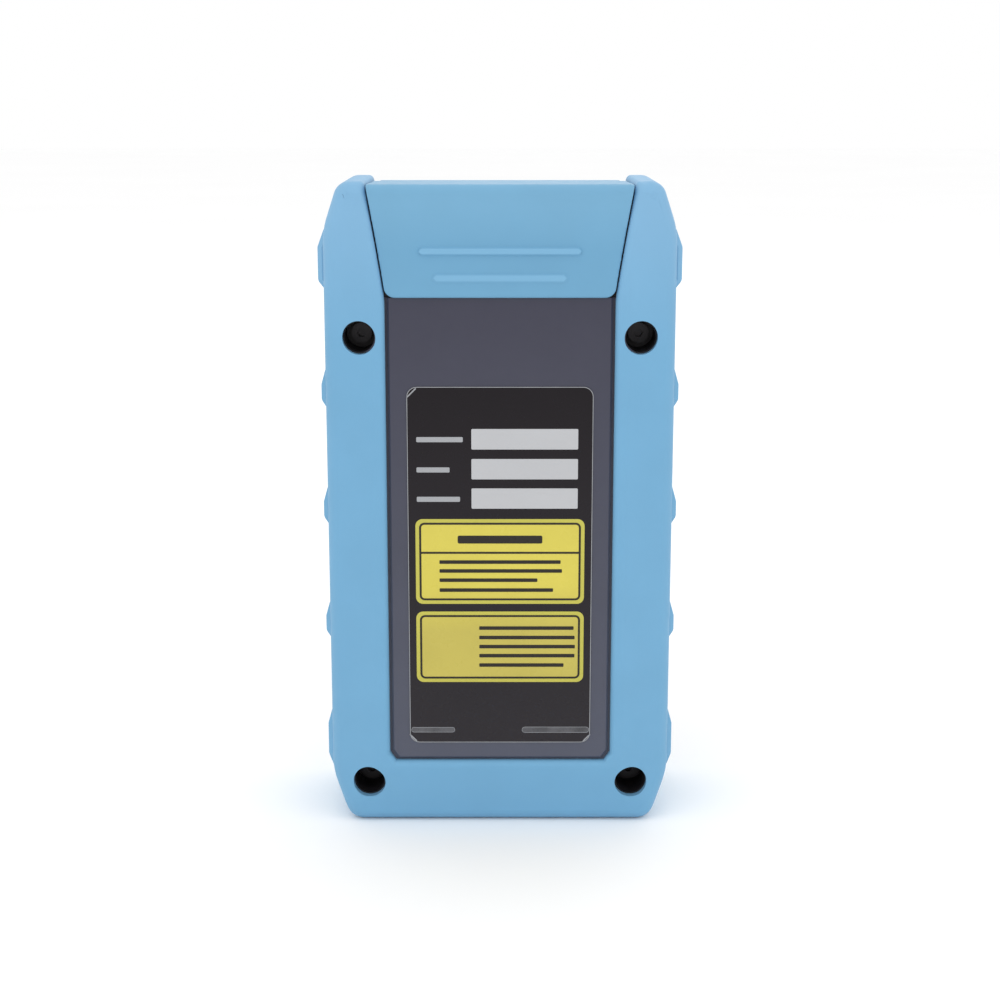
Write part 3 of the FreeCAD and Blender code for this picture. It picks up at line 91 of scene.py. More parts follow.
class Nodes:
    """Lays shader nodes for one material and joins them up."""

    def __init__(self, name: str) -> None:
        """Starts a named material with a Principled shader."""
        self.material = bpy.data.materials.new(name)
        self.material.use_nodes = True
        self.tree = self.material.node_tree
        self.shader = self.tree.nodes["Principled BSDF"]
        self.place = self.tree.nodes.new("ShaderNodeTexCoord").outputs["Object"]

    def fill(self, socket: Socket, value: object) -> None:
        """Sets an input to a plain value, or links an output to it."""
        if isinstance(value, Socket):
            self.tree.links.new(value, socket)
        else:
            socket.default_value = value

    def add(self, kind: str, inputs: dict | None = None, **settings: object) -> bpy.types.Node:
        """Adds one node.

        Args:
            kind: The node's type without its prefix.
            inputs: Socket names or numbers with a value, or an output to link from.
            settings: Properties of the node itself.

        Returns:
            The new node.
        """
        node = self.tree.nodes.new(f"ShaderNode{kind}")
        for name, value in settings.items():
            setattr(node, name, value)
        for name, value in (inputs or {}).items():
            self.fill(node.inputs[name], value)
        return node

    def shade(self, inputs: dict[str, object]) -> None:
        """Sets or links sockets of the shader."""
        for name, value in inputs.items():
            self.fill(self.shader.inputs[name], value)

    def along(self, axis: str) -> Socket:
        """Gives the place along one axis, in metres."""
        return self.add("SeparateXYZ", {"Vector": self.place}).outputs[axis]

    def work(self, operation: str, *values: object) -> Socket:
        """Works out one operation on outputs or numbers."""
        return self.add("Math", dict(enumerate(values)), operation=operation).outputs[0]

    def within(self, axis: str, low: float, high: float) -> Socket:
        """Gives 1 between two places along an axis and 0 beyond them."""
        place = self.along(axis)
        return self.work("MULTIPLY", self.work("GREATER_THAN", place, low),
                         self.work("LESS_THAN", place, high))

    def mix(self, share: Socket, lower: object, upper: object) -> Socket:
        """Mixes two colours, each an output or a plain colour, by a share of the upper one."""
        return self.add("Mix", {0: share, 6: lower, 7: upper}, data_type="RGBA").outputs[2]

    def noise(self, scale: float, detail: float = 2.0, stretch: Triple = EVEN) -> Socket:
        """Gives a noise pattern.

        Args:
            scale: Cells a metre.
            detail: Finer layers over the first.
            stretch: Scale of the pattern along each axis.

        Returns:
            The pattern, 0 to 1.
        """
        where = self.place
        if stretch != EVEN:
            where = self.add("Mapping", {"Vector": where, "Scale": stretch}).outputs["Vector"]
        return self.add("TexNoise", {"Vector": where, "Scale": scale, "Detail": detail}).outputs["Fac"]

    def between(self, pattern: Socket, first: Triple, second: Triple) -> Socket:
        """Maps a pattern's usual range to the range between two linear colours.

        Args:
            pattern: The pattern.
            first: Colour at the low end.
            second: Colour at the high end.

        Returns:
            The colour.
        """
        node = self.add("ValToRGB", {"Fac": pattern})
        for element, spot, colour in zip(node.color_ramp.elements, PATTERN_RANGE, (first, second)):
            element.position, element.color = spot, (*colour, 1.0)
        return node.outputs["Color"]

    def spread(self, pattern: Socket, low: float, high: float) -> Socket:
        """Maps a pattern's usual range to the range between two numbers."""
        start, end = PATTERN_RANGE
        return self.add("MapRange", {"Value": pattern, "From Min": start, "From Max": end,
                                     "To Min": low, "To Max": high}).outputs["Result"]


@dataclass(frozen=True)
class Finish:
    """A surface with mottled colour, uneven gloss and fine relief.

    Attributes:
        name: The finish's name in a maker's words.
        colour: Display colour, 0 to 255.
        mottle: How far the colour strays, as a share.
        patch: Colour patches a metre.
        rough: Middle roughness.
        rough_spread: How far the roughness strays.
        grain: Grains a metre of the fine relief.
        depth: Its depth in metres.
        metallic: 1 for uncoated metal.
        coat: Weight of a clear coat.
        coat_rough: The coat's roughness.
        specular: Strength of the reflection.
        stretch: How the grain is drawn out along each axis.
        foot: Display colour that it fades to at its lower end, if it fades.
        fade: Lower and upper height of the fade, in metres; on several finishes this fade is painted light
            and shade.
        colour_detail: Finer layers of the colour patches.
        gloss_patches: Gloss patches to one colour patch.
    """

    name: str
    colour: Colour
    mottle: float = 0.05
    patch: float = 60.0
    rough: float = 0.5
    rough_spread: float = 0.06
    grain: float = 2500.0
    depth: float = 1e-5
    metallic: float = 0.0
    coat: float = 0.0
    coat_rough: float = 0.08
    specular: float = 0.35
    stretch: Triple = EVEN
    foot: Colour | None = None
    fade: tuple[float, float] = (0.02, 0.145)
    colour_detail: float = 3.0
    gloss_patches: float = 6.0

    def mottled(self, nodes: Nodes, colour: Colour) -> Socket:
        """Gives a display colour with its mottle."""
        dark, pale = (tuple(min(part * (1 + share), 1.0) for part in linear(colour))
                      for share in (-self.mottle, self.mottle))
        return nodes.between(nodes.noise(self.patch, self.colour_detail), dark, pale)

    def base_colour(self, nodes: Nodes) -> Socket:
        """Gives the mottled colour, faded down the tester where it fades."""
        upper = self.mottled(nodes, self.colour)
        if self.foot is None:
            return upper
        share = nodes.add("MapRange", {"Value": nodes.along("Z"), "From Min": self.fade[0],
                                       "From Max": self.fade[1]}).outputs["Result"]
        return nodes.mix(share, self.mottled(nodes, self.foot), upper)

    def relief(self, nodes: Nodes) -> Socket:
        """Gives the relief's normal."""
        grain = nodes.noise(self.grain, stretch=self.stretch)
        return nodes.add("Bump", {"Height": grain, "Strength": 1.0, "Distance": self.depth}).outputs["Normal"]

    def shading(self, nodes: Nodes) -> dict[str, object]:
        """Works out the shader's inputs, each socket's name with its value."""
        gloss = nodes.noise(self.patch * self.gloss_patches, stretch=self.stretch)
        rough = nodes.spread(gloss, self.rough - self.rough_spread, self.rough + self.rough_spread)
        return {"Base Color": self.base_colour(nodes), "Metallic": self.metallic, "Roughness": rough,
                "Specular IOR Level": self.specular, "Coat Weight": self.coat,
                "Coat Roughness": self.coat_rough, "Normal": self.relief(nodes)}

    def make(self) -> bpy.types.Material:
        """Builds the procedural material, on Object coordinates."""
        nodes = Nodes(self.name)
        nodes.shade(self.shading(nodes))
        return nodes.material


@dataclass(frozen=True)
class RubberFinish(Finish):
    """Moulded elastomer: a faint sheen and a fine spark-eroded texture.

    Attributes:
        sheen: Weight of the sheen.
        sheen_rough: Its roughness.
    """

    sheen: float = 0.06
    sheen_rough: float = 0.5

    def shading(self, nodes: Nodes) -> dict[str, object]:
        """Adds the sheen to the usual inputs."""
        return {**super().shading(nodes), "Sheen Weight": self.sheen, "Sheen Roughness": self.sheen_rough}


@dataclass(frozen=True)
class FlapFinish(RubberFinish):
    """Elastomer with two grip ribs, each with a painted highlight along its crest.

    Attributes:
        rib_highlight: Display colour of the painted highlight on the ribs' crests.
        ribs: Half length, height above the base and width of each rib, in metres.
        crest: Share of the width, from the rib's middle, that gets the full painted highlight.
        flank: Share of the width beyond which none of it is.
    """

    rib_highlight: Colour = (118, 171, 205)
    ribs: tuple[Triple, ...] = ((0.02055, 0.160, 0.0019), (0.01675, 0.153, 0.0019))
    crest: float = 0.3
    flank: float = 0.55

    def base_colour(self, nodes: Nodes) -> Socket:
        """Gives the elastomer's colour with the painted highlights on the ribs."""
        colour = super().base_colour(nodes)
        across, height = nodes.work("ABSOLUTE", nodes.along("X")), nodes.along("Z")
        # Each rib gets a painted highlight, strongest on its crest and gone beyond its flank.
        for half, level, width in self.ribs:
            off = nodes.work("ABSOLUTE", nodes.work("SUBTRACT", height, level))
            past = nodes.work("MAXIMUM", nodes.work("SUBTRACT", across, half), 0.0)
            shown = nodes.add("MapRange", {
                "Value": nodes.work("ADD", off, past), "From Min": width * self.crest,
                "From Max": width * self.flank, "To Min": 1.0, "To Max": 0.0}).outputs["Result"]
            colour = nodes.mix(shown, colour, opaque(self.rib_highlight))
        return colour


@dataclass(frozen=True)
class CaseFinish(Finish):
    """The rigid case: painted where the label panel and the face show, with painted shade in its wells and
    gaps.

    Attributes:
        hollow_shade: Near-black display colour between the painted faces: painted shade in the deep wells and
            gaps.
        back_level: Depth from which the painted back begins, in metres behind the middle.
        front_level: Depth from which the painted face begins, in metres before the middle.
    """

    hollow_shade: Colour = (34, 31, 34)
    back_level: float = 0.0193
    front_level: float = 0.0195

    def base_colour(self, nodes: Nodes) -> Socket:
        """Gives paint outside, and painted shade in the wells and gaps."""
        # Between the painted faces, the wells and gaps get near-black colour: painted shade.
        inner = nodes.within("Y", -self.back_level, self.front_level)
        return nodes.mix(inner, super().base_colour(nodes), opaque(self.hollow_shade))


@dataclass(frozen=True)
class BoardFinish(Finish):
    """Solder mask over copper tracks, which run along both axes of the board.

    Attributes:
        track: Display colour of the mask over copper.
        pitch: Tracks a metre.
        track_start: Share of the pitch at which the copper begins.
    """

    track: Colour = (28, 104, 62)
    pitch: float = 260.0
    track_start: float = 0.38

    def base_colour(self, nodes: Nodes) -> Socket:
        """Gives the mask with its tracks."""
        cells = nodes.add("TexVoronoi", {"Vector": nodes.place, "Scale": self.pitch},
                          distance="CHEBYCHEV", feature="F1").outputs["Distance"]
        shown = nodes.work("GREATER_THAN", cells, self.track_start)
        return nodes.mix(shown, super().base_colour(nodes), opaque(self.track))


@dataclass(frozen=True)
class LensFinish(Finish):
    """Printed acrylic: a black border round the window over the switched-off display.

    Attributes:
        window: Half width, bottom and top of the clear window, in metres.
        display: Display colour behind the window.
    """

    window: Triple = (0.030, 0.101, 0.147)
    display: Colour = (44, 50, 56)

    def base_colour(self, nodes: Nodes) -> Socket:
        """Gives the black border and the dim window."""
        half, *heights = self.window
        inside = nodes.work("MULTIPLY", nodes.within("X", -half, half), nodes.within("Z", *heights))
        return nodes.mix(inside, super().base_colour(nodes), opaque(self.display))


@dataclass(frozen=True)
class InkFinish(Finish):
    """Ink or film on the label: even, with a dull reflection."""

    rough: float = 0.3
    grain: float = 250.0
    depth: float = 3e-6
    specular: float = 0.2


class Surface(Enum):
    """The finishes that pieces and nodes choose from."""

    # The boot's colour fades paler up towards its top: painted light on its upper surfaces.
    BOOT = RubberFinish("boot_elastomer", (124, 173, 208), mottle=0.02, rough=0.55, grain=5000.0, depth=8e-6,
                        foot=(110, 165, 201), fade=(0.135, 0.170))
    # The flap's colour fades paler towards its top edge: painted light.
    FLAP = FlapFinish("flap_elastomer", (112, 165, 198), mottle=0.02, grain=5000.0, depth=6e-6,
                      foot=(104, 158, 192), fade=(0.160, 0.172))
    # The case's paint fades paler down towards its foot: a painted reflection of the pale floor.
    CASE = CaseFinish("case_moulding", (58, 58, 73), mottle=0.03, rough=0.48, grain=6000.0, depth=6e-6,
                      foot=(79, 82, 96))
    SEAL = Finish("seal_silicone", (24, 24, 24), rough=0.6)
    SCREW = Finish("black_oxide_steel", (48, 46, 48), mottle=0.12, patch=400.0, rough=0.42, metallic=0.6)
    PIN = Finish("ground_steel", (182, 182, 186), rough=0.25, metallic=1.0, grain=900.0,
                 stretch=(0.05, 1.0, 1.0))
    # The label film fades paler down towards its foot: a painted reflection.
    LABEL = InkFinish("label_film", (15, 8, 14), patch=35.0, rough=0.28, rough_spread=0.04, specular=0.18,
                      foot=(44, 41, 45))
    PANEL = Finish("panel_moulding", (40, 40, 43), rough=0.45)
    NICKEL = Finish("nickel_plate", (196, 194, 188), patch=200.0, rough=0.22, metallic=1.0,
                    grain=3000.0, depth=3e-6)
    CAN = Finish("plated_can", (205, 184, 132), mottle=0.06, patch=200.0, rough=0.28, metallic=1.0)
    SOCKET = Finish("socket_moulding", (34, 34, 36), rough=0.42, depth=8e-6)
    SHELL = Finish("drawn_steel", (180, 181, 184), rough=0.26, metallic=1.0, grain=1200.0,
                   stretch=(1.0, 1.0, 0.05))
    BOARD = BoardFinish("solder_mask", (18, 78, 44), mottle=0.08, rough=0.3, grain=900.0)
    BUZZER = Finish("buzzer_moulding", (30, 30, 31))
    LENS = LensFinish("printed_acrylic", (14, 14, 16), mottle=0.1, rough=0.07, rough_spread=0.02, grain=300.0,
                      depth=1e-6, coat=0.6)
    DISPLAY = Finish("display_glass", (40, 44, 50), rough=0.12, rough_spread=0.03, depth=1e-6)
    BRACKET = Finish("bracket_moulding", (44, 44, 46))
    MAT = Finish("keypad_silicone", (120, 121, 124), rough=0.6)
    KEY = RubberFinish("key_elastomer", (203, 207, 211), mottle=0.02, grain=4500.0, depth=8e-6)
    HOLDER = Finish("holder_moulding", (44, 44, 46))
    CELL = Finish("cell_sleeve", (38, 116, 158), mottle=0.04, rough=0.24, grain=700.0)
    MODULE = Finish("anodised_block", (168, 170, 172), mottle=0.04, rough=0.36, metallic=1.0, grain=2200.0)
    FIBRE = Finish("fibre_jacket", (236, 200, 70), rough=0.4)
    PRINT_YELLOW = InkFinish("yellow_ink", (209, 196, 87), patch=45.0, foot=(191, 178, 88),
                             fade=(0.056, 0.069))
    PRINT_OLIVE = InkFinish("olive_ink", (190, 184, 84), mottle=0.04, patch=30.0)
    PRINT_GREY = InkFinish("grey_ink", (184, 185, 188), mottle=0.02, rough=0.36)
    PRINT_DARK = InkFinish("dark_ink", (44, 40, 36), mottle=0.06)
    PRINT_PALE = InkFinish("pale_ink", (160, 162, 166), mottle=0.04, rough=0.36)
    # Pale film edges: painted highlight where the film's cut edge, crease rims and lifted corners catch
    # light.
    FILM_EDGE_HIGHLIGHT = Finish("film_edge_highlight", (150, 152, 156), mottle=0.12, patch=200.0, rough=0.22, depth=2e-6)
    # Pale film creases: the film's low creases with their glare painted as streaks.
    FILM_CREASE_GLARE = Finish("film_crease_glare", (84, 84, 88), mottle=0.3, patch=260.0, rough=0.3, grain=400.0,
                         specular=0.3)
    MARK = Finish("key_mark_ink", (70, 72, 80), rough=0.45)
    GOLD = Finish("gold_plate", (226, 188, 96), rough=0.2, metallic=1.0, depth=2e-6)
    CERAMIC = Finish("zirconia", (236, 234, 226), mottle=0.02, rough=0.2, depth=2e-6)


@cache
def material_of(surface: Surface) -> bpy.types.Material:
    """Builds each finish's material once."""
    return surface.value.make()


# -------------------------------- pieces

def turned(degrees: float, axis: str) -> Matrix:
    """Gives the turn by an angle about an axis."""
    return Matrix.Rotation(math.radians(degrees), 3, axis)


class Facing(Enum):
    """Where the open side of a plate that is drawn flat ends up, with the turn that does it."""

    BACK = turned(QUARTER_TURN, "X")
    FRONT = turned(-QUARTER_TURN, "X")


class Piece:
    """One new mesh piece, shaped with bmesh operators and then placed on a body."""

    def __init__(self, name: str) -> None:
        """Starts an empty piece."""
        self.name = name
        self.form = bmesh.new()

    def outline(self, width: float, height: float, corner: float = 0.0, rounds: int = 6) -> list:
        """Draws a flat face about the origin, its corners rounded.

        Args:
            width: Along X.
            height: Along Y.
            corner: Corner radius.
            rounds: Segments of each corner.

        Returns:
            The vertices drawn.
        """
        made = bmesh.ops.create_grid(self.form, x_segments=1, y_segments=1, size=0.5)["verts"]
        bmesh.ops.scale(self.form, vec=(width, height, 1.0), verts=made)
        if corner:
            made = bmesh.ops.bevel(self.form, geom=made, offset=corner, offset_type="OFFSET", segments=rounds,
                                   profile=0.5, affect="VERTICES", material=-1)["verts"]
        return list(made)

    def faces_of(self, verts: list) -> list:
        """Finds the faces whose every corner is among some vertices."""
        known = set(verts)
        return [face for face in self.form.faces if all(vert in known for vert in face.verts)]

    def since(self, before: set) -> list:
        """Finds the vertices that weren't there before."""
        return [vert for vert in self.form.verts if vert not in before]

    def hollow_out(self, verts: list, rim: float) -> None:
        """Leaves only a rim of a flat face.

        Args:
            verts: The face's vertices.
            rim: Width of the rim.
        """
        faces = self.faces_of(verts)
        bmesh.ops.inset_region(self.form, faces=faces, thickness=rim, use_boundary=True, use_even_offset=True)
        bmesh.ops.delete(self.form, geom=faces, context="FACES")

    def thicken(self, depth: float, verts: list | None = None) -> None:
        """Gives flat faces a thickness upwards.

        Args:
            depth: The thickness.
            verts: The vertices of the faces, or all.
        """
        faces = self.faces_of(verts) if verts else self.form.faces[:]
        grown = bmesh.ops.extrude_face_region(self.form, geom=faces, use_keep_orig=True)["geom"]
        lifted = [item for item in grown if isinstance(item, bmesh.types.BMVert)]
        bmesh.ops.translate(self.form, vec=(0.0, 0.0, depth), verts=lifted)

    def turn(self, matrix: Matrix, verts: list | None = None) -> None:
        """Turns the shape, or some of its vertices, about the origin."""
        bmesh.ops.rotate(self.form, cent=(0, 0, 0), matrix=matrix, verts=verts or self.form.verts[:])

    def move(self, x: float, y: float, z: float, verts: list | None = None) -> None:
        """Moves the shape, or some of its vertices."""
        bmesh.ops.translate(self.form, vec=(x, y, z), verts=verts or self.form.verts[:])

    def stamp(self, size: tuple[float, float], corner: float, depth: float, turns: tuple[Matrix, ...],
              spot: Triple, rounds: int = 6, rim: float = 0.0) -> None:
        """Adds one plate: draws it flat, thickens it, turns it and moves it into place.

        Args:
            size: Width and height.
            corner: Corner radius.
            depth: Thickness.
            turns: The turns from flat to the way it faces, in order.
            spot: Where its middle goes.
            rounds: Segments of each corner.
            rim: Width of the rim left, or 0 for a full plate.
        """
        before = set(self.form.verts)
        verts = self.outline(*size, corner, rounds)
        if rim:
            self.hollow_out(verts, rim)
        self.thicken(depth, self.since(before))
        fresh = self.since(before)
        for matrix in turns:
            self.turn(matrix, fresh)
        self.move(*spot, fresh)

    def tidy(self) -> None:
        """Joins corners that touch and faces every face outwards."""
        bmesh.ops.remove_doubles(self.form, verts=self.form.verts, dist=NEW_WELD)
        bmesh.ops.recalc_face_normals(self.form, faces=self.form.faces)

    def soften(self, size: float, angle: float, rounds: int) -> None:
        """Bevels the sharp edges.

        Args:
            size: How far each edge is set back.
            angle: Edges that turn more than this many degrees are sharp.
            rounds: Segments of each bevel.
        """
        self.tidy()
        sharp = [edge for edge in self.form.edges if len(edge.link_faces) == 2
                 and edge.calc_face_angle(0.0) > math.radians(angle)]
        bmesh.ops.bevel(self.form, geom=sharp, offset=size, offset_type="OFFSET", segments=rounds,
                        profile=0.5, affect="EDGES", clamp_overlap=True, material=-1)

    def link(self) -> bpy.types.Object:
        """Ends the shaping and puts the piece into the scene as an object."""
        mesh = bpy.data.meshes.new(self.name)
        self.form.to_mesh(mesh)
        self.form.free()
        piece = bpy.data.objects.new(self.name, mesh)
        bpy.context.scene.collection.objects.link(piece)
        return piece

    def place(self, surface: Surface, body: str, slot: str) -> bpy.types.Object:
        """Shades the piece and puts it on its body.

        Args:
            surface: Its finish.
            body: The CAD body it rides on.
            slot: Not used.

        Returns:
            The new object.
        """
        self.tidy()
        for face in self.form.faces:
            face.smooth = True
        for edge in self.form.edges:
            edge.smooth = len(edge.link_faces) == 2 and edge.calc_face_angle(0.0) < math.radians(SMOOTH_TURN)
        piece = self.link()
        piece.data.materials.append(material_of(surface))
        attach(piece, body)
        LOG.info("%s: %d faces", self.name, len(piece.data.polygons))
        return piece


def dress(nodes: dict[str, Surface]) -> None:
    """Gives carried-over CAD nodes the materials of their finishes."""
    for name, surface in nodes.items():
        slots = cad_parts[name].data.materials
        slots.clear()
        slots.append(material_of(surface))
        LOG.info("%s: %s", name, surface.value.name)


@dataclass(frozen=True)
class SoftMoulding:
    """An elastomer moulding that stands for its CAD node, with every sharp edge eased.

    Attributes:
        node: The CAD node.
        name: The piece's name.
        body: The body it rides on.
        slot: The record's material slot.
        surface: Its finish.
        edge: How far its edges are eased.
        angle: Edges sharper than this many degrees are eased.
        rounds: Segments of each eased edge.
        grid: Size of the even grid it is remoulded on, or 0 to keep its own faces.
        hem: Height below which its lower edge is let down, and by how much, if it is.
        corner: How its outer top corners are tightened, if they are: the sharp corner's distance from the
            middle, the side's lean in degrees, and the old and new radius.
        melt: How far each smoothing of a remoulded piece goes, as a share.
        melts: How often it is smoothed.
    """

    node: str
    name: str
    body: str
    slot: str
    surface: Surface
    edge: float = 0.0003
    angle: float = 28.0
    rounds: int = 3
    grid: float = 0.0
    hem: tuple[float, float] | None = None
    corner: tuple[float, float, float, float] | None = None
    melt: float = 0.5
    melts: int = 2

    def build(self) -> None:
        """Shapes the moulding from its node."""
        piece = Piece(self.name)
        piece.form.from_mesh(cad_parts[self.node].data)
        bmesh.ops.remove_doubles(piece.form, verts=piece.form.verts, dist=NODE_WELD)
        if self.corner:
            self.tighten_corners(piece)
        if self.hem:
            level, drop = self.hem
            piece.move(0.0, 0.0, -drop, [vert for vert in piece.form.verts if vert.co.z < level])
        if not self.grid:
            self.ease(piece)
        moulding = piece.place(self.surface, self.body, self.slot)
        if self.grid:
            self.remould(moulding)
        else:
            moulding.modifiers.new("even_shading", "WEIGHTED_NORMAL").keep_sharp = True
        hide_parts(self.node)

    def tighten_corners(self, piece: Piece) -> None:
        """Redraws the rounding of both outer top corners with its new radius."""
        across, lean, old, new = self.corner
        turn = math.radians(QUARTER_TURN - lean)
        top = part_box(self.node)[1][2]
        old_centre, new_centre = (Vector((across - radius * math.tan(turn / 2), top - radius))
                                  for radius in (old, new))
        for vert in piece.form.verts:
            arm = Vector((abs(vert.co.x), vert.co.z)) - old_centre
            if arm.length > old / 2 and 0.0 <= math.atan2(arm.x, arm.y) <= turn:
                spot = new_centre + arm * (1.0 - (old - new) / arm.length)
                vert.co.x, vert.co.z = math.copysign(spot.x, vert.co.x), spot.y

    def ease(self, piece: Piece) -> None:
        """Joins the faces of each flat and eases the edges between them."""
        form = piece.form
        bmesh.ops.dissolve_limit(form, angle_limit=math.radians(FLAT_TURN), use_dissolve_boundaries=False,
                                 verts=form.verts, edges=form.edges)
        piece.soften(self.edge, self.angle, self.rounds)
        bmesh.ops.dissolve_degenerate(form, dist=SLIVER, edges=form.edges)

    def remould(self, moulding: bpy.types.Object) -> None:
        """Gives the placed moulding even faces all over, with every edge melted a little."""
        even = moulding.modifiers.new("even_faces", "REMESH")
        even.mode, even.voxel_size, even.use_smooth_shade = "VOXEL", self.grid, True
        melted = moulding.modifiers.new("melted_edges", "SMOOTH")
        melted.factor, melted.iterations = self.melt, self.melts


# -------------------------------- sub-assemblies

@dataclass
class Boot:
    """The soft boot and the dust flap that closes its top."""

    mouldings: tuple = (
        SoftMoulding("boot", "boot_moulding", "tester", "boot_rubber", Surface.BOOT,
                     corner=(0.0427, 18.43, 0.0065, 0.0044)),
        SoftMoulding("dust_flap", "flap_moulding", "flap", "flap_rubber", Surface.FLAP, grid=0.00035,
                     hem=(0.151, 0.0003)))

    def build(self) -> None:
        """Shapes both mouldings."""
        for moulding in self.mouldings:
            moulding.build()


@dataclass
class Case:
    """The rigid shells with what holds them together."""

    nodes: dict[str, Surface] = field(default_factory=lambda: {
        "rear_case": Surface.CASE, "front_case": Surface.CASE, "case_screws": Surface.SCREW,
        "hinge_pin": Surface.PIN})
    seal: SoftMoulding = SoftMoulding("case_seal", "seal_cord", "tester", "seal_rubber", Surface.SEAL,
                                      edge=0.0002)

    def build(self) -> None:
        """Dresses the shells, screws and pin, and eases the seal between the shells."""
        dress(self.nodes)
        self.seal.build()


@dataclass
class RatingLabel:
    """The label: black film with blank printed fields, every mark left plain.

    Heights are measured up from the label's lower edge and widths from its middle.

    Attributes:
        fields: Left, right, bottom and top of each write-on field.
        captions: Left, right and middle height of the bar beside each field.
        panels: Bottom and top of each yellow panel.
        glints: Left, right, middle height and height of each crease of the film, its glare a painted streak.
        lifted: Place across, height, turn in degrees and length of each lifted corner, a pale strip of
            painted highlight.
    """

    ink: float = 0.00004
    lift: float = 0.000005
    fields: tuple = ((-0.0077, 0.0210, 0.0830, 0.0886), (-0.0077, 0.0210, 0.0748, 0.0804),
                     (-0.0077, 0.0210, 0.0667, 0.0723))
    field_corner: float = 0.0003
    captions: tuple = ((-0.0225, -0.0100, 0.0857), (-0.0225, -0.0136, 0.0774), (-0.0225, -0.0108, 0.0693))
    caption_height: float = 0.0014
    bar_corner: float = 0.2
    panel_half: float = 0.02295
    panels: tuple = ((0.0400, 0.0638), (0.0176, 0.0378))
    panel_corner: float = 0.0019
    border_gap: float = 0.0010
    border: float = 0.00055
    divider: float = 0.0544
    heading: tuple = (-0.0115, 0.0115, 0.0581)
    heading_height: float = 0.0022
    rows: tuple = ((-0.0165, 0.0165, 0.0518), (-0.0165, 0.0169, 0.0493), (-0.0165, 0.0102, 0.0467),
                   (-0.0165, 0.0145, 0.0439), (-0.0057, 0.0202, 0.0331), (-0.0057, 0.0205, 0.0304),
                   (-0.0057, 0.0206, 0.0278), (-0.0057, 0.0205, 0.0252), (-0.0057, 0.0175, 0.0225))
    row_height: float = 0.0010
    edge_width: float = 0.00018
    edge_corner: float = 0.0027
    glints: tuple = ((-0.0246, -0.0125, 0.0037, 0.0015), (0.0061, 0.0247, 0.0037, 0.0017))
    glint_corner: float = 0.48
    lifted: tuple = ((-0.0237, 0.0984, 45.0, 0.0035), (-0.0241, 0.0014, -45.0, 0.0028),
                     (0.0241, 0.0014, 45.0, 0.0028))
    lifted_width: float = 0.00035
    lifted_corner: float = 0.45
    lifted_rounds: int = 3
    crease_highlight_rim: float = 0.0001

    def __post_init__(self) -> None:
        """Takes the film's face, foot and size from its node."""
        low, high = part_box("rating_label")
        self.face, self.foot = low[1], low[2]
        self.width, self.height = high[0] - low[0], high[2] - low[2]

    def build(self) -> None:
        """Dresses the film and prints its blank fields."""
        dress({"rating_label": Surface.LABEL})
        self.print_fields()
        self.print_panels()
        self.paint_edge_highlight()
        self.paint_film_glare()

    def plate(self, piece: Piece, span: tuple, corner: float, level: float, rim: float = 0.0) -> None:
        """Adds one printed plate to a piece.

        Args:
            piece: The piece it goes into.
            span: Its left, right, lower and upper edge.
            corner: Corner radius.
            level: How far its underside stands off the film.
            rim: Width of the rim left, or 0 for a full plate.
        """
        left, right, low, high = span
        spot = (left + right) / 2, self.face - level, self.foot + (low + high) / 2
        piece.stamp((right - left, high - low), corner, self.ink, (Facing.BACK.value,), spot, rim=rim)

    def bars(self, name: str, rows: tuple, height: float, surface: Surface, level: float) -> None:
        """Prints plain bars as one piece.

        Args:
            name: The piece's name.
            rows: Left end, right end and middle height of each bar.
            height: Height of every bar.
            surface: The ink.
            level: How far the undersides stand off the film.
        """
        piece = Piece(name)
        for left, right, middle in rows:
            span = left, right, middle - height / 2, middle + height / 2
            self.plate(piece, span, height * self.bar_corner, level)
        self.lay(piece, surface)

    def lay(self, piece: Piece, surface: Surface) -> None:
        """Ends a printed piece."""
        piece.place(surface, "tester", "label_film")

    def print_fields(self) -> None:
        """Prints the grey write-on fields and a plain bar in front of each."""
        fields = Piece("label_fields")
        for span in self.fields:
            self.plate(fields, span, self.field_corner, self.lift)
        self.lay(fields, Surface.PRINT_GREY)
        self.bars("label_captions", self.captions, self.caption_height, Surface.PRINT_PALE, self.lift)

    def print_panels(self) -> None:
        """Prints the yellow panels, their borders and their plain rows."""
        margin, yellow, border = Piece("label_margins"), Piece("label_panels"), Piece("label_borders")
        half, gap, step = self.panel_half, self.border_gap, self.ink / 2
        above = self.lift + self.ink + step
        for low, high in self.panels:
            inner, corner = (-half + gap, half - gap, low + gap, high - gap), self.panel_corner - gap / 2
            self.plate(margin, (-half, half, low, high), self.panel_corner, self.lift)
            self.plate(yellow, inner, corner, self.lift + step)
            self.plate(border, inner, corner, above, self.border)
        thick = self.border / 2
        reach = half - gap - thick
        line = -reach, reach, self.divider - thick, self.divider + thick
        self.plate(border, line, 0.0, above + self.lift)
        self.lay(margin, Surface.PRINT_OLIVE)
        self.lay(yellow, Surface.PRINT_YELLOW)
        self.lay(border, Surface.PRINT_DARK)
        self.bars("label_heading", (self.heading,), self.heading_height, Surface.PRINT_DARK, above)
        self.bars("label_rows", self.rows, self.row_height, Surface.PRINT_DARK, above)

    def paint_edge_highlight(self) -> None:
        """Lays a painted highlight along the cut edge of the clear film round the label."""
        edge = Piece("label_edge_highlight")
        span = -self.width / 2, self.width / 2, 0.0, self.height
        self.plate(edge, span, self.edge_corner, self.lift, self.edge_width)
        self.lay(edge, Surface.FILM_EDGE_HIGHLIGHT)

    def paint_film_glare(self) -> None:
        """Paints glare on the film's low creases near its foot and highlights on its slightly lifted corners.
        """
        glare_streaks, rim_highlights = Piece("label_crease_glare"), Piece("label_crease_highlights")
        for left, right, middle, height in self.glints:
            span, corner = (left, right, middle - height / 2, middle + height / 2), height * self.glint_corner
            self.plate(glare_streaks, span, corner, self.lift)
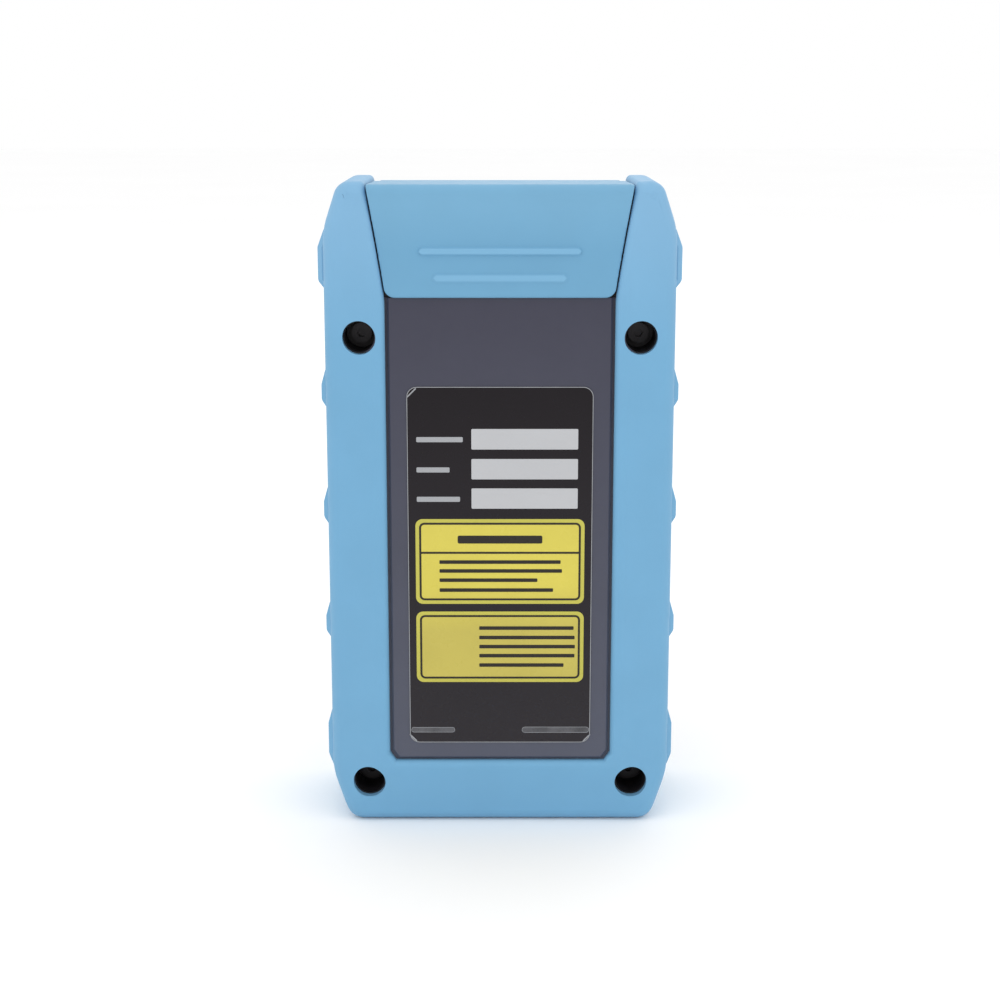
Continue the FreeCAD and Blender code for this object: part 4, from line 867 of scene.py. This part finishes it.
            # Each streak gets a paler rim: a painted highlight.
            self.plate(rim_highlights, span, corner, self.lift + self.ink / 2, self.crease_highlight_rim)
        self.lay(glare_streaks, Surface.FILM_CREASE_GLARE)
        self.lay(rim_highlights, Surface.FILM_EDGE_HIGHLIGHT)
        corners = Piece("label_corner_highlights")
        for x, height, angle, length in self.lifted:
            corners.stamp((length, self.lifted_width), self.lifted_width * self.lifted_corner, self.ink,
                          (turned(angle, "Z"), Facing.BACK.value),
                          (x, self.face - self.lift, self.foot + height), self.lifted_rounds)
        self.lay(corners, Surface.FILM_EDGE_HIGHLIGHT)


@dataclass
class Ports:
    """The connector panel under the flap with its sockets.

    Attributes:
        thread_form: Where each turn's crest begins, ends and meets the root, as shares of the pitch.
        sleeve_ease: How far the sleeve's end is eased, as a share of its wall.
        sleeves: Each adapter with how deep its sleeve reaches.
        contact_thick: A contact's thickness and corner radius are shares of its width.
        pad_width: A pad's width and corner radius are shares of the pitch.
    """

    nodes: dict[str, Surface] = field(default_factory=lambda: {
        "connector_panel": Surface.PANEL, "otdr_adapter": Surface.NICKEL, "adapter_screws": Surface.SCREW,
        "opm_adapter": Surface.NICKEL, "vfl_adapter": Surface.NICKEL, "opm_detector": Surface.CAN,
        "vfl_laser": Surface.CAN, "rj45_jack": Surface.SOCKET, "usb_port": Surface.SHELL})
    steps: int = 48
    barrel: float = 0.004
    thread_depth: float = 0.00022
    thread_pitch: float = 0.00075
    thread_turns: int = 5
    thread_top: float = 0.0006
    thread_form: Triple = (0.3, 0.5, 0.8)
    bore: float = 0.00126
    sleeve_wall: float = 0.0007
    sleeve_ease: float = 0.25
    sleeves: tuple = (("otdr_adapter", 0.0041), ("opm_adapter", 0.0040), ("vfl_adapter", 0.0040))
    sleeve_proud: float = 0.0001
    contact_count: int = 8
    contact_pitch: float = 0.00102
    contact_width: float = 0.00035
    contact_length: float = 0.011
    contact_thick: float = 0.8
    contact_corner: float = 0.4
    contact_rounds: int = 3
    contact_lean: float = 6.0
    contact_back: float = 0.0027
    contact_drop: float = 0.0078
    pad_count: int = 12
    pad_pitch: float = 0.0005
    pad_width: float = 0.5
    pad_corner: float = 0.1
    pad_rounds: int = 2
    pad_length: float = 0.0038
    pad_height: float = 0.00002
    pad_drop: float = 0.0032
    tongue_half: float = 0.00035

    def build(self) -> None:
        """Dresses the panel and its sockets and adds what is in them."""
        dress(self.nodes)
        self.cut_thread()
        self.fit_sleeves()
        self.fit_jack_contacts()
        self.fit_usb_contacts()

    def ring(self, piece: Piece, x: float, y: float, profile: list[tuple[float, float]]) -> None:
        """Spins a closed profile about an upright axis.

        Args:
            piece: The piece that gets the ring.
            x: The axis's place across.
            y: The axis's place in depth.
            profile: Radius and height of each corner, in order.
        """
        verts = [piece.form.verts.new((x + radius, y, height)) for radius, height in profile]
        edges = [piece.form.edges.new((verts[n], verts[(n + 1) % len(verts)])) for n in range(len(verts))]
        bmesh.ops.spin(piece.form, geom=verts + edges, cent=(x, y, 0.0), axis=(0, 0, 1), dvec=(0, 0, 0),
                       angle=math.tau, steps=self.steps, use_merge=True, use_duplicate=False)

    def middle(self, node: str) -> tuple[float, float, float, float]:
        """Gives a node's middle across and in depth, and its lowest and highest level."""
        low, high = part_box(node)
        return (low[0] + high[0]) / 2, (low[1] + high[1]) / 2, low[2], high[2]

    def cut_thread(self) -> None:
        """Winds the coupling thread round the main adapter's barrel."""
        x, y, _, top = self.middle("otdr_adapter")
        crest, root = self.barrel + self.thread_depth, self.barrel - self.thread_depth
        start, pitch = top - self.thread_top, self.thread_pitch
        rise, end, fall = self.thread_form
        profile = [(root, start)]
        for turn in range(self.thread_turns):
            height = start - turn * pitch
            profile += [(crest, height - pitch * rise), (crest, height - pitch * end),
                        (self.barrel, height - pitch * fall), (self.barrel, height - pitch)]
        profile.append((root, start - self.thread_turns * pitch))
        thread = Piece("adapter_thread")
        self.ring(thread, x, y, profile)
        thread.place(Surface.NICKEL, "tester", "adapter_metal")

    def fit_sleeves(self) -> None:
        """Sets a ceramic alignment sleeve in each fibre port."""
        sleeves = Piece("alignment_sleeves")
        inner, outer, ease = self.bore, self.bore + self.sleeve_wall, self.sleeve_wall * self.sleeve_ease
        for node, depth in self.sleeves:
            x, y, _, top = self.middle(node)
            high, low = top + self.sleeve_proud, top - depth
            self.ring(sleeves, x, y, [(inner, low), (outer, low), (outer, high - ease), (outer - ease, high),
                                      (inner + ease, high), (inner, high - ease)])
        sleeves.place(Surface.CERAMIC, "tester", "adapter_metal")

    def row(self, count: int, pitch: float, middle: float) -> list[float]:
        """Gives the places of a row of contacts about its middle."""
        return [middle + (number - (count - 1) / 2) * pitch for number in range(count)]

    def fit_jack_contacts(self) -> None:
        """Lays the eight sprung contacts along the jack's rear wall."""
        x, y, _, top = self.middle("rj45_jack")
        contacts = Piece("jack_contacts")
        width = self.contact_width
        for across in self.row(self.contact_count, self.contact_pitch, x):
            contacts.stamp((width, self.contact_length), width * self.contact_corner,
                           width * self.contact_thick, (Facing.FRONT.value, turned(-self.contact_lean, "X")),
                           (across, y - self.contact_back, top - self.contact_drop), self.contact_rounds)
        contacts.place(Surface.GOLD, "tester", "jack_plastic")

    def fit_usb_contacts(self) -> None:
        """Lays the gold pads on both faces of the socket's tongue."""
        x, y, _, top = self.middle("usb_port")
        pads = Piece("usb_contacts")
        size, corner = (self.pad_pitch * self.pad_width, self.pad_length), self.pad_pitch * self.pad_corner
        for across in self.row(self.pad_count, self.pad_pitch, x):
            for side, facing in ((1, Facing.FRONT), (-1, Facing.BACK)):
                spot = across, y + side * self.tongue_half, top - self.pad_drop
                pads.stamp(size, corner, self.pad_height, (facing.value,), spot, self.pad_rounds)
        pads.place(Surface.GOLD, "tester", "usb_steel")


@dataclass
class Inside:
    """What the case holds."""

    nodes: dict[str, Surface] = field(default_factory=lambda: {
        "port_board": Surface.BOARD, "main_board": Surface.BOARD, "board_screws": Surface.SCREW,
        "buzzer": Surface.BUZZER, "lcd_module": Surface.DISPLAY, "lcd_bracket": Surface.BRACKET,
        "cell_holder": Surface.HOLDER, "battery_cells": Surface.CELL,
        "optical_module": Surface.MODULE, "module_screws": Surface.SCREW, "fibre_pigtail": Surface.FIBRE})
    mat: SoftMoulding = SoftMoulding("keypad_mat", "keypad_sheet", "tester", "mat_rubber", Surface.MAT,
                                     edge=0.0001)

    def build(self) -> None:
        """Dresses the boards, cells and optics, and eases the keypad's silicone."""
        dress(self.nodes)
        self.mat.build()


@dataclass(frozen=True)
class Disc:
    """A regular flat shape of a sign, or only its rim, about a place."""

    radius: float
    sides: int = 32
    rim: float = 0.0
    x: float = 0.0
    y: float = 0.0

    def draw(self, piece: Piece) -> None:
        """Draws it flat in a piece."""
        shift = Matrix.Translation((self.x, self.y, 0.0))
        verts = bmesh.ops.create_circle(piece.form, cap_ends=True, segments=self.sides, radius=self.radius,
                                        matrix=shift)["verts"]
        if self.rim:
            piece.hollow_out(verts, self.rim)


@dataclass(frozen=True)
class Bar:
    """A flat bar of a sign about a place, its corner radius a share of its lesser side."""

    width: float
    height: float
    x: float = 0.0
    y: float = 0.0
    corner: float = 0.4
    rounds: int = 3

    def draw(self, piece: Piece) -> None:
        """Draws it flat in a piece."""
        corner = min(self.width, self.height) * self.corner
        piece.move(self.x, self.y, 0.0, piece.outline(self.width, self.height, corner, self.rounds))


class Mark(Enum):
    """The plain signs on the keys, with the shapes they are drawn from."""

    ARROW = (Disc(0.0019, sides=3),)
    BARS = (Bar(0.0038, 0.0005, y=-0.00114), Bar(0.0038, 0.0005), Bar(0.0038, 0.0005, y=0.00114))
    RING = (Disc(0.00266, rim=0.0005),)
    BEAM = (Disc(0.00095), Bar(0.00152, 0.0005, x=-0.002356), Bar(0.0005, 0.00152, y=-0.002356),
            Bar(0.00152, 0.0005, x=0.002356), Bar(0.0005, 0.00152, y=0.002356))
    POWER = (Disc(0.0019, rim=0.0005), Bar(0.0005, 0.00209, y=0.0019))
    RETURN = (Bar(0.00304, 0.0005, y=-0.00095), Bar(0.0005, 0.0024, x=0.00152),
              Bar(0.00228, 0.0005, x=0.00038, y=0.00095), Disc(0.00095, sides=3, x=-0.00114, y=0.00095))


@dataclass
class Face:
    """The screen and the keys.

    Attributes:
        keys: Each key with its sign and how far that is turned, in degrees.
        key_edge: How far a key's edges are eased.
        ink: Thickness of a sign.
    """

    keys: tuple = (
        ("start_key", Mark.ARROW, -90.0), ("menu_key", Mark.BARS, 0.0), ("vfl_key", Mark.BEAM, 0.0),
        ("up_key", Mark.ARROW, 0.0), ("right_key", Mark.ARROW, 90.0), ("down_key", Mark.ARROW, 180.0),
        ("left_key", Mark.ARROW, -90.0), ("ok_key", Mark.RING, 0.0), ("power_key", Mark.POWER, 0.0),
        ("back_key", Mark.RETURN, 0.0))
    key_edge: float = 0.00018
    ink: float = 0.00003

    def build(self) -> None:
        """Dresses the lens, shapes the keys and prints their signs."""
        dress({"screen_lens": Surface.LENS})
        for name, mark, angle in self.keys:
            SoftMoulding(name, f"{name}_cap", name, "key_rubber", Surface.KEY, edge=self.key_edge).build()
            self.print_mark(name, mark, angle)

    def print_mark(self, name: str, mark: Mark, angle: float) -> None:
        """Prints a key's sign on the middle of its cap.

        The turn to the front stands a flat drawing on its head, so half a turn is added.

        Args:
            name: The key.
            mark: Its sign.
            angle: How far the sign is turned, in degrees.
        """
        low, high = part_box(name)
        sign = Piece(f"{name}_sign")
        for shape in mark.value:
            shape.draw(sign)
        sign.turn(turned(angle + HALF_TURN, "Z"))
        sign.thicken(self.ink)
        sign.turn(Facing.FRONT.value)
        sign.move((low[0] + high[0]) / 2, high[1] - self.ink / 2, (low[2] + high[2]) / 2)
        sign.place(Surface.MARK, name, "key_rubber")


@dataclass
class Studio:
    """Floor, surroundings, camera, and lamps that each have a name, place, size and power."""

    floor_size: float = 12.0
    floor_tones: tuple[float, float] = (0.985, 0.995)
    floor_patch: float = 3.0
    floor_rough: float = 0.9
    floor_specular: float = 0.1
    eye: tuple = (0.0, -0.5102, 0.2015)
    target: tuple = (0.0, -0.022, 0.0933)
    lens: float = 66.7
    sensor: float = 36.0
    near: float = 0.01
    room: float = 1.0
    lamps: tuple = (("key_light", (-0.7, -1.0, 1.4), 1.2, 3.0), ("fill_light", (1.0, -0.9, 0.9), 1.2, 1.5),
                    ("top_light", (0.0, 0.2, 1.6), 1.4, 2.0), ("rear_light", (0.4, 1.4, 0.9), 1.2, 2.0))

    def aim(self, thing: bpy.types.Object, target: tuple) -> None:
        """Turns an object's -Z towards a point."""
        way = Vector(target) - thing.location
        thing.rotation_euler = way.to_track_quat("-Z", "Y").to_euler()

    def build(self) -> None:
        """Sets the stage."""
        self.lay_floor()
        for name, where, size, power in self.lamps:
            light = bpy.data.lights.new(name, "AREA")
            light.size, light.energy = size, power
            lamp = bpy.data.objects.new(name, light)
            lamp.location = where
            self.aim(lamp, self.target)
            bpy.context.scene.collection.objects.link(lamp)
        self.light_room()
        self.set_camera()

    def lay_floor(self) -> None:
        """Lays the pale floor."""
        piece = Piece("floor")
        piece.outline(self.floor_size, self.floor_size)
        floor = piece.link()
        nodes = Nodes("pale_floor")
        greys = ((tone, tone, tone) for tone in self.floor_tones)
        nodes.shade({"Base Color": nodes.between(nodes.noise(self.floor_patch), *greys),
                     "Roughness": self.floor_rough, "Specular IOR Level": self.floor_specular})
        floor.data.materials.append(nodes.material)

    def light_room(self) -> None:
        """Surrounds the scene with even white light."""
        world = bpy.context.scene.world or bpy.data.worlds.new("room")
        bpy.context.scene.world = world
        world.use_nodes = True
        background = world.node_tree.nodes["Background"]
        background.inputs["Color"].default_value = (1.0, 1.0, 1.0, 1.0)
        background.inputs["Strength"].default_value = self.room

    def set_camera(self) -> None:
        """Puts up the camera."""
        camera = bpy.data.cameras.new("camera")
        camera.lens, camera.sensor_width, camera.clip_start = self.lens, self.sensor, self.near
        holder = bpy.data.objects.new("camera", camera)
        holder.location = self.eye
        self.aim(holder, self.target)
        bpy.context.scene.collection.objects.link(holder)
        bpy.context.scene.camera = holder
        bpy.context.scene.view_settings.view_transform = "Standard"


def main() -> None:
    """Builds everything in order."""
    logging.basicConfig(level=logging.INFO, format="%(name)s: %(message)s")
    for part in (Studio(), Boot(), Case(), RatingLabel(), Ports(), Inside(), Face()):
        LOG.info("building %s", type(part).__name__)
        part.build()


if __name__ == "__main__":
    main()
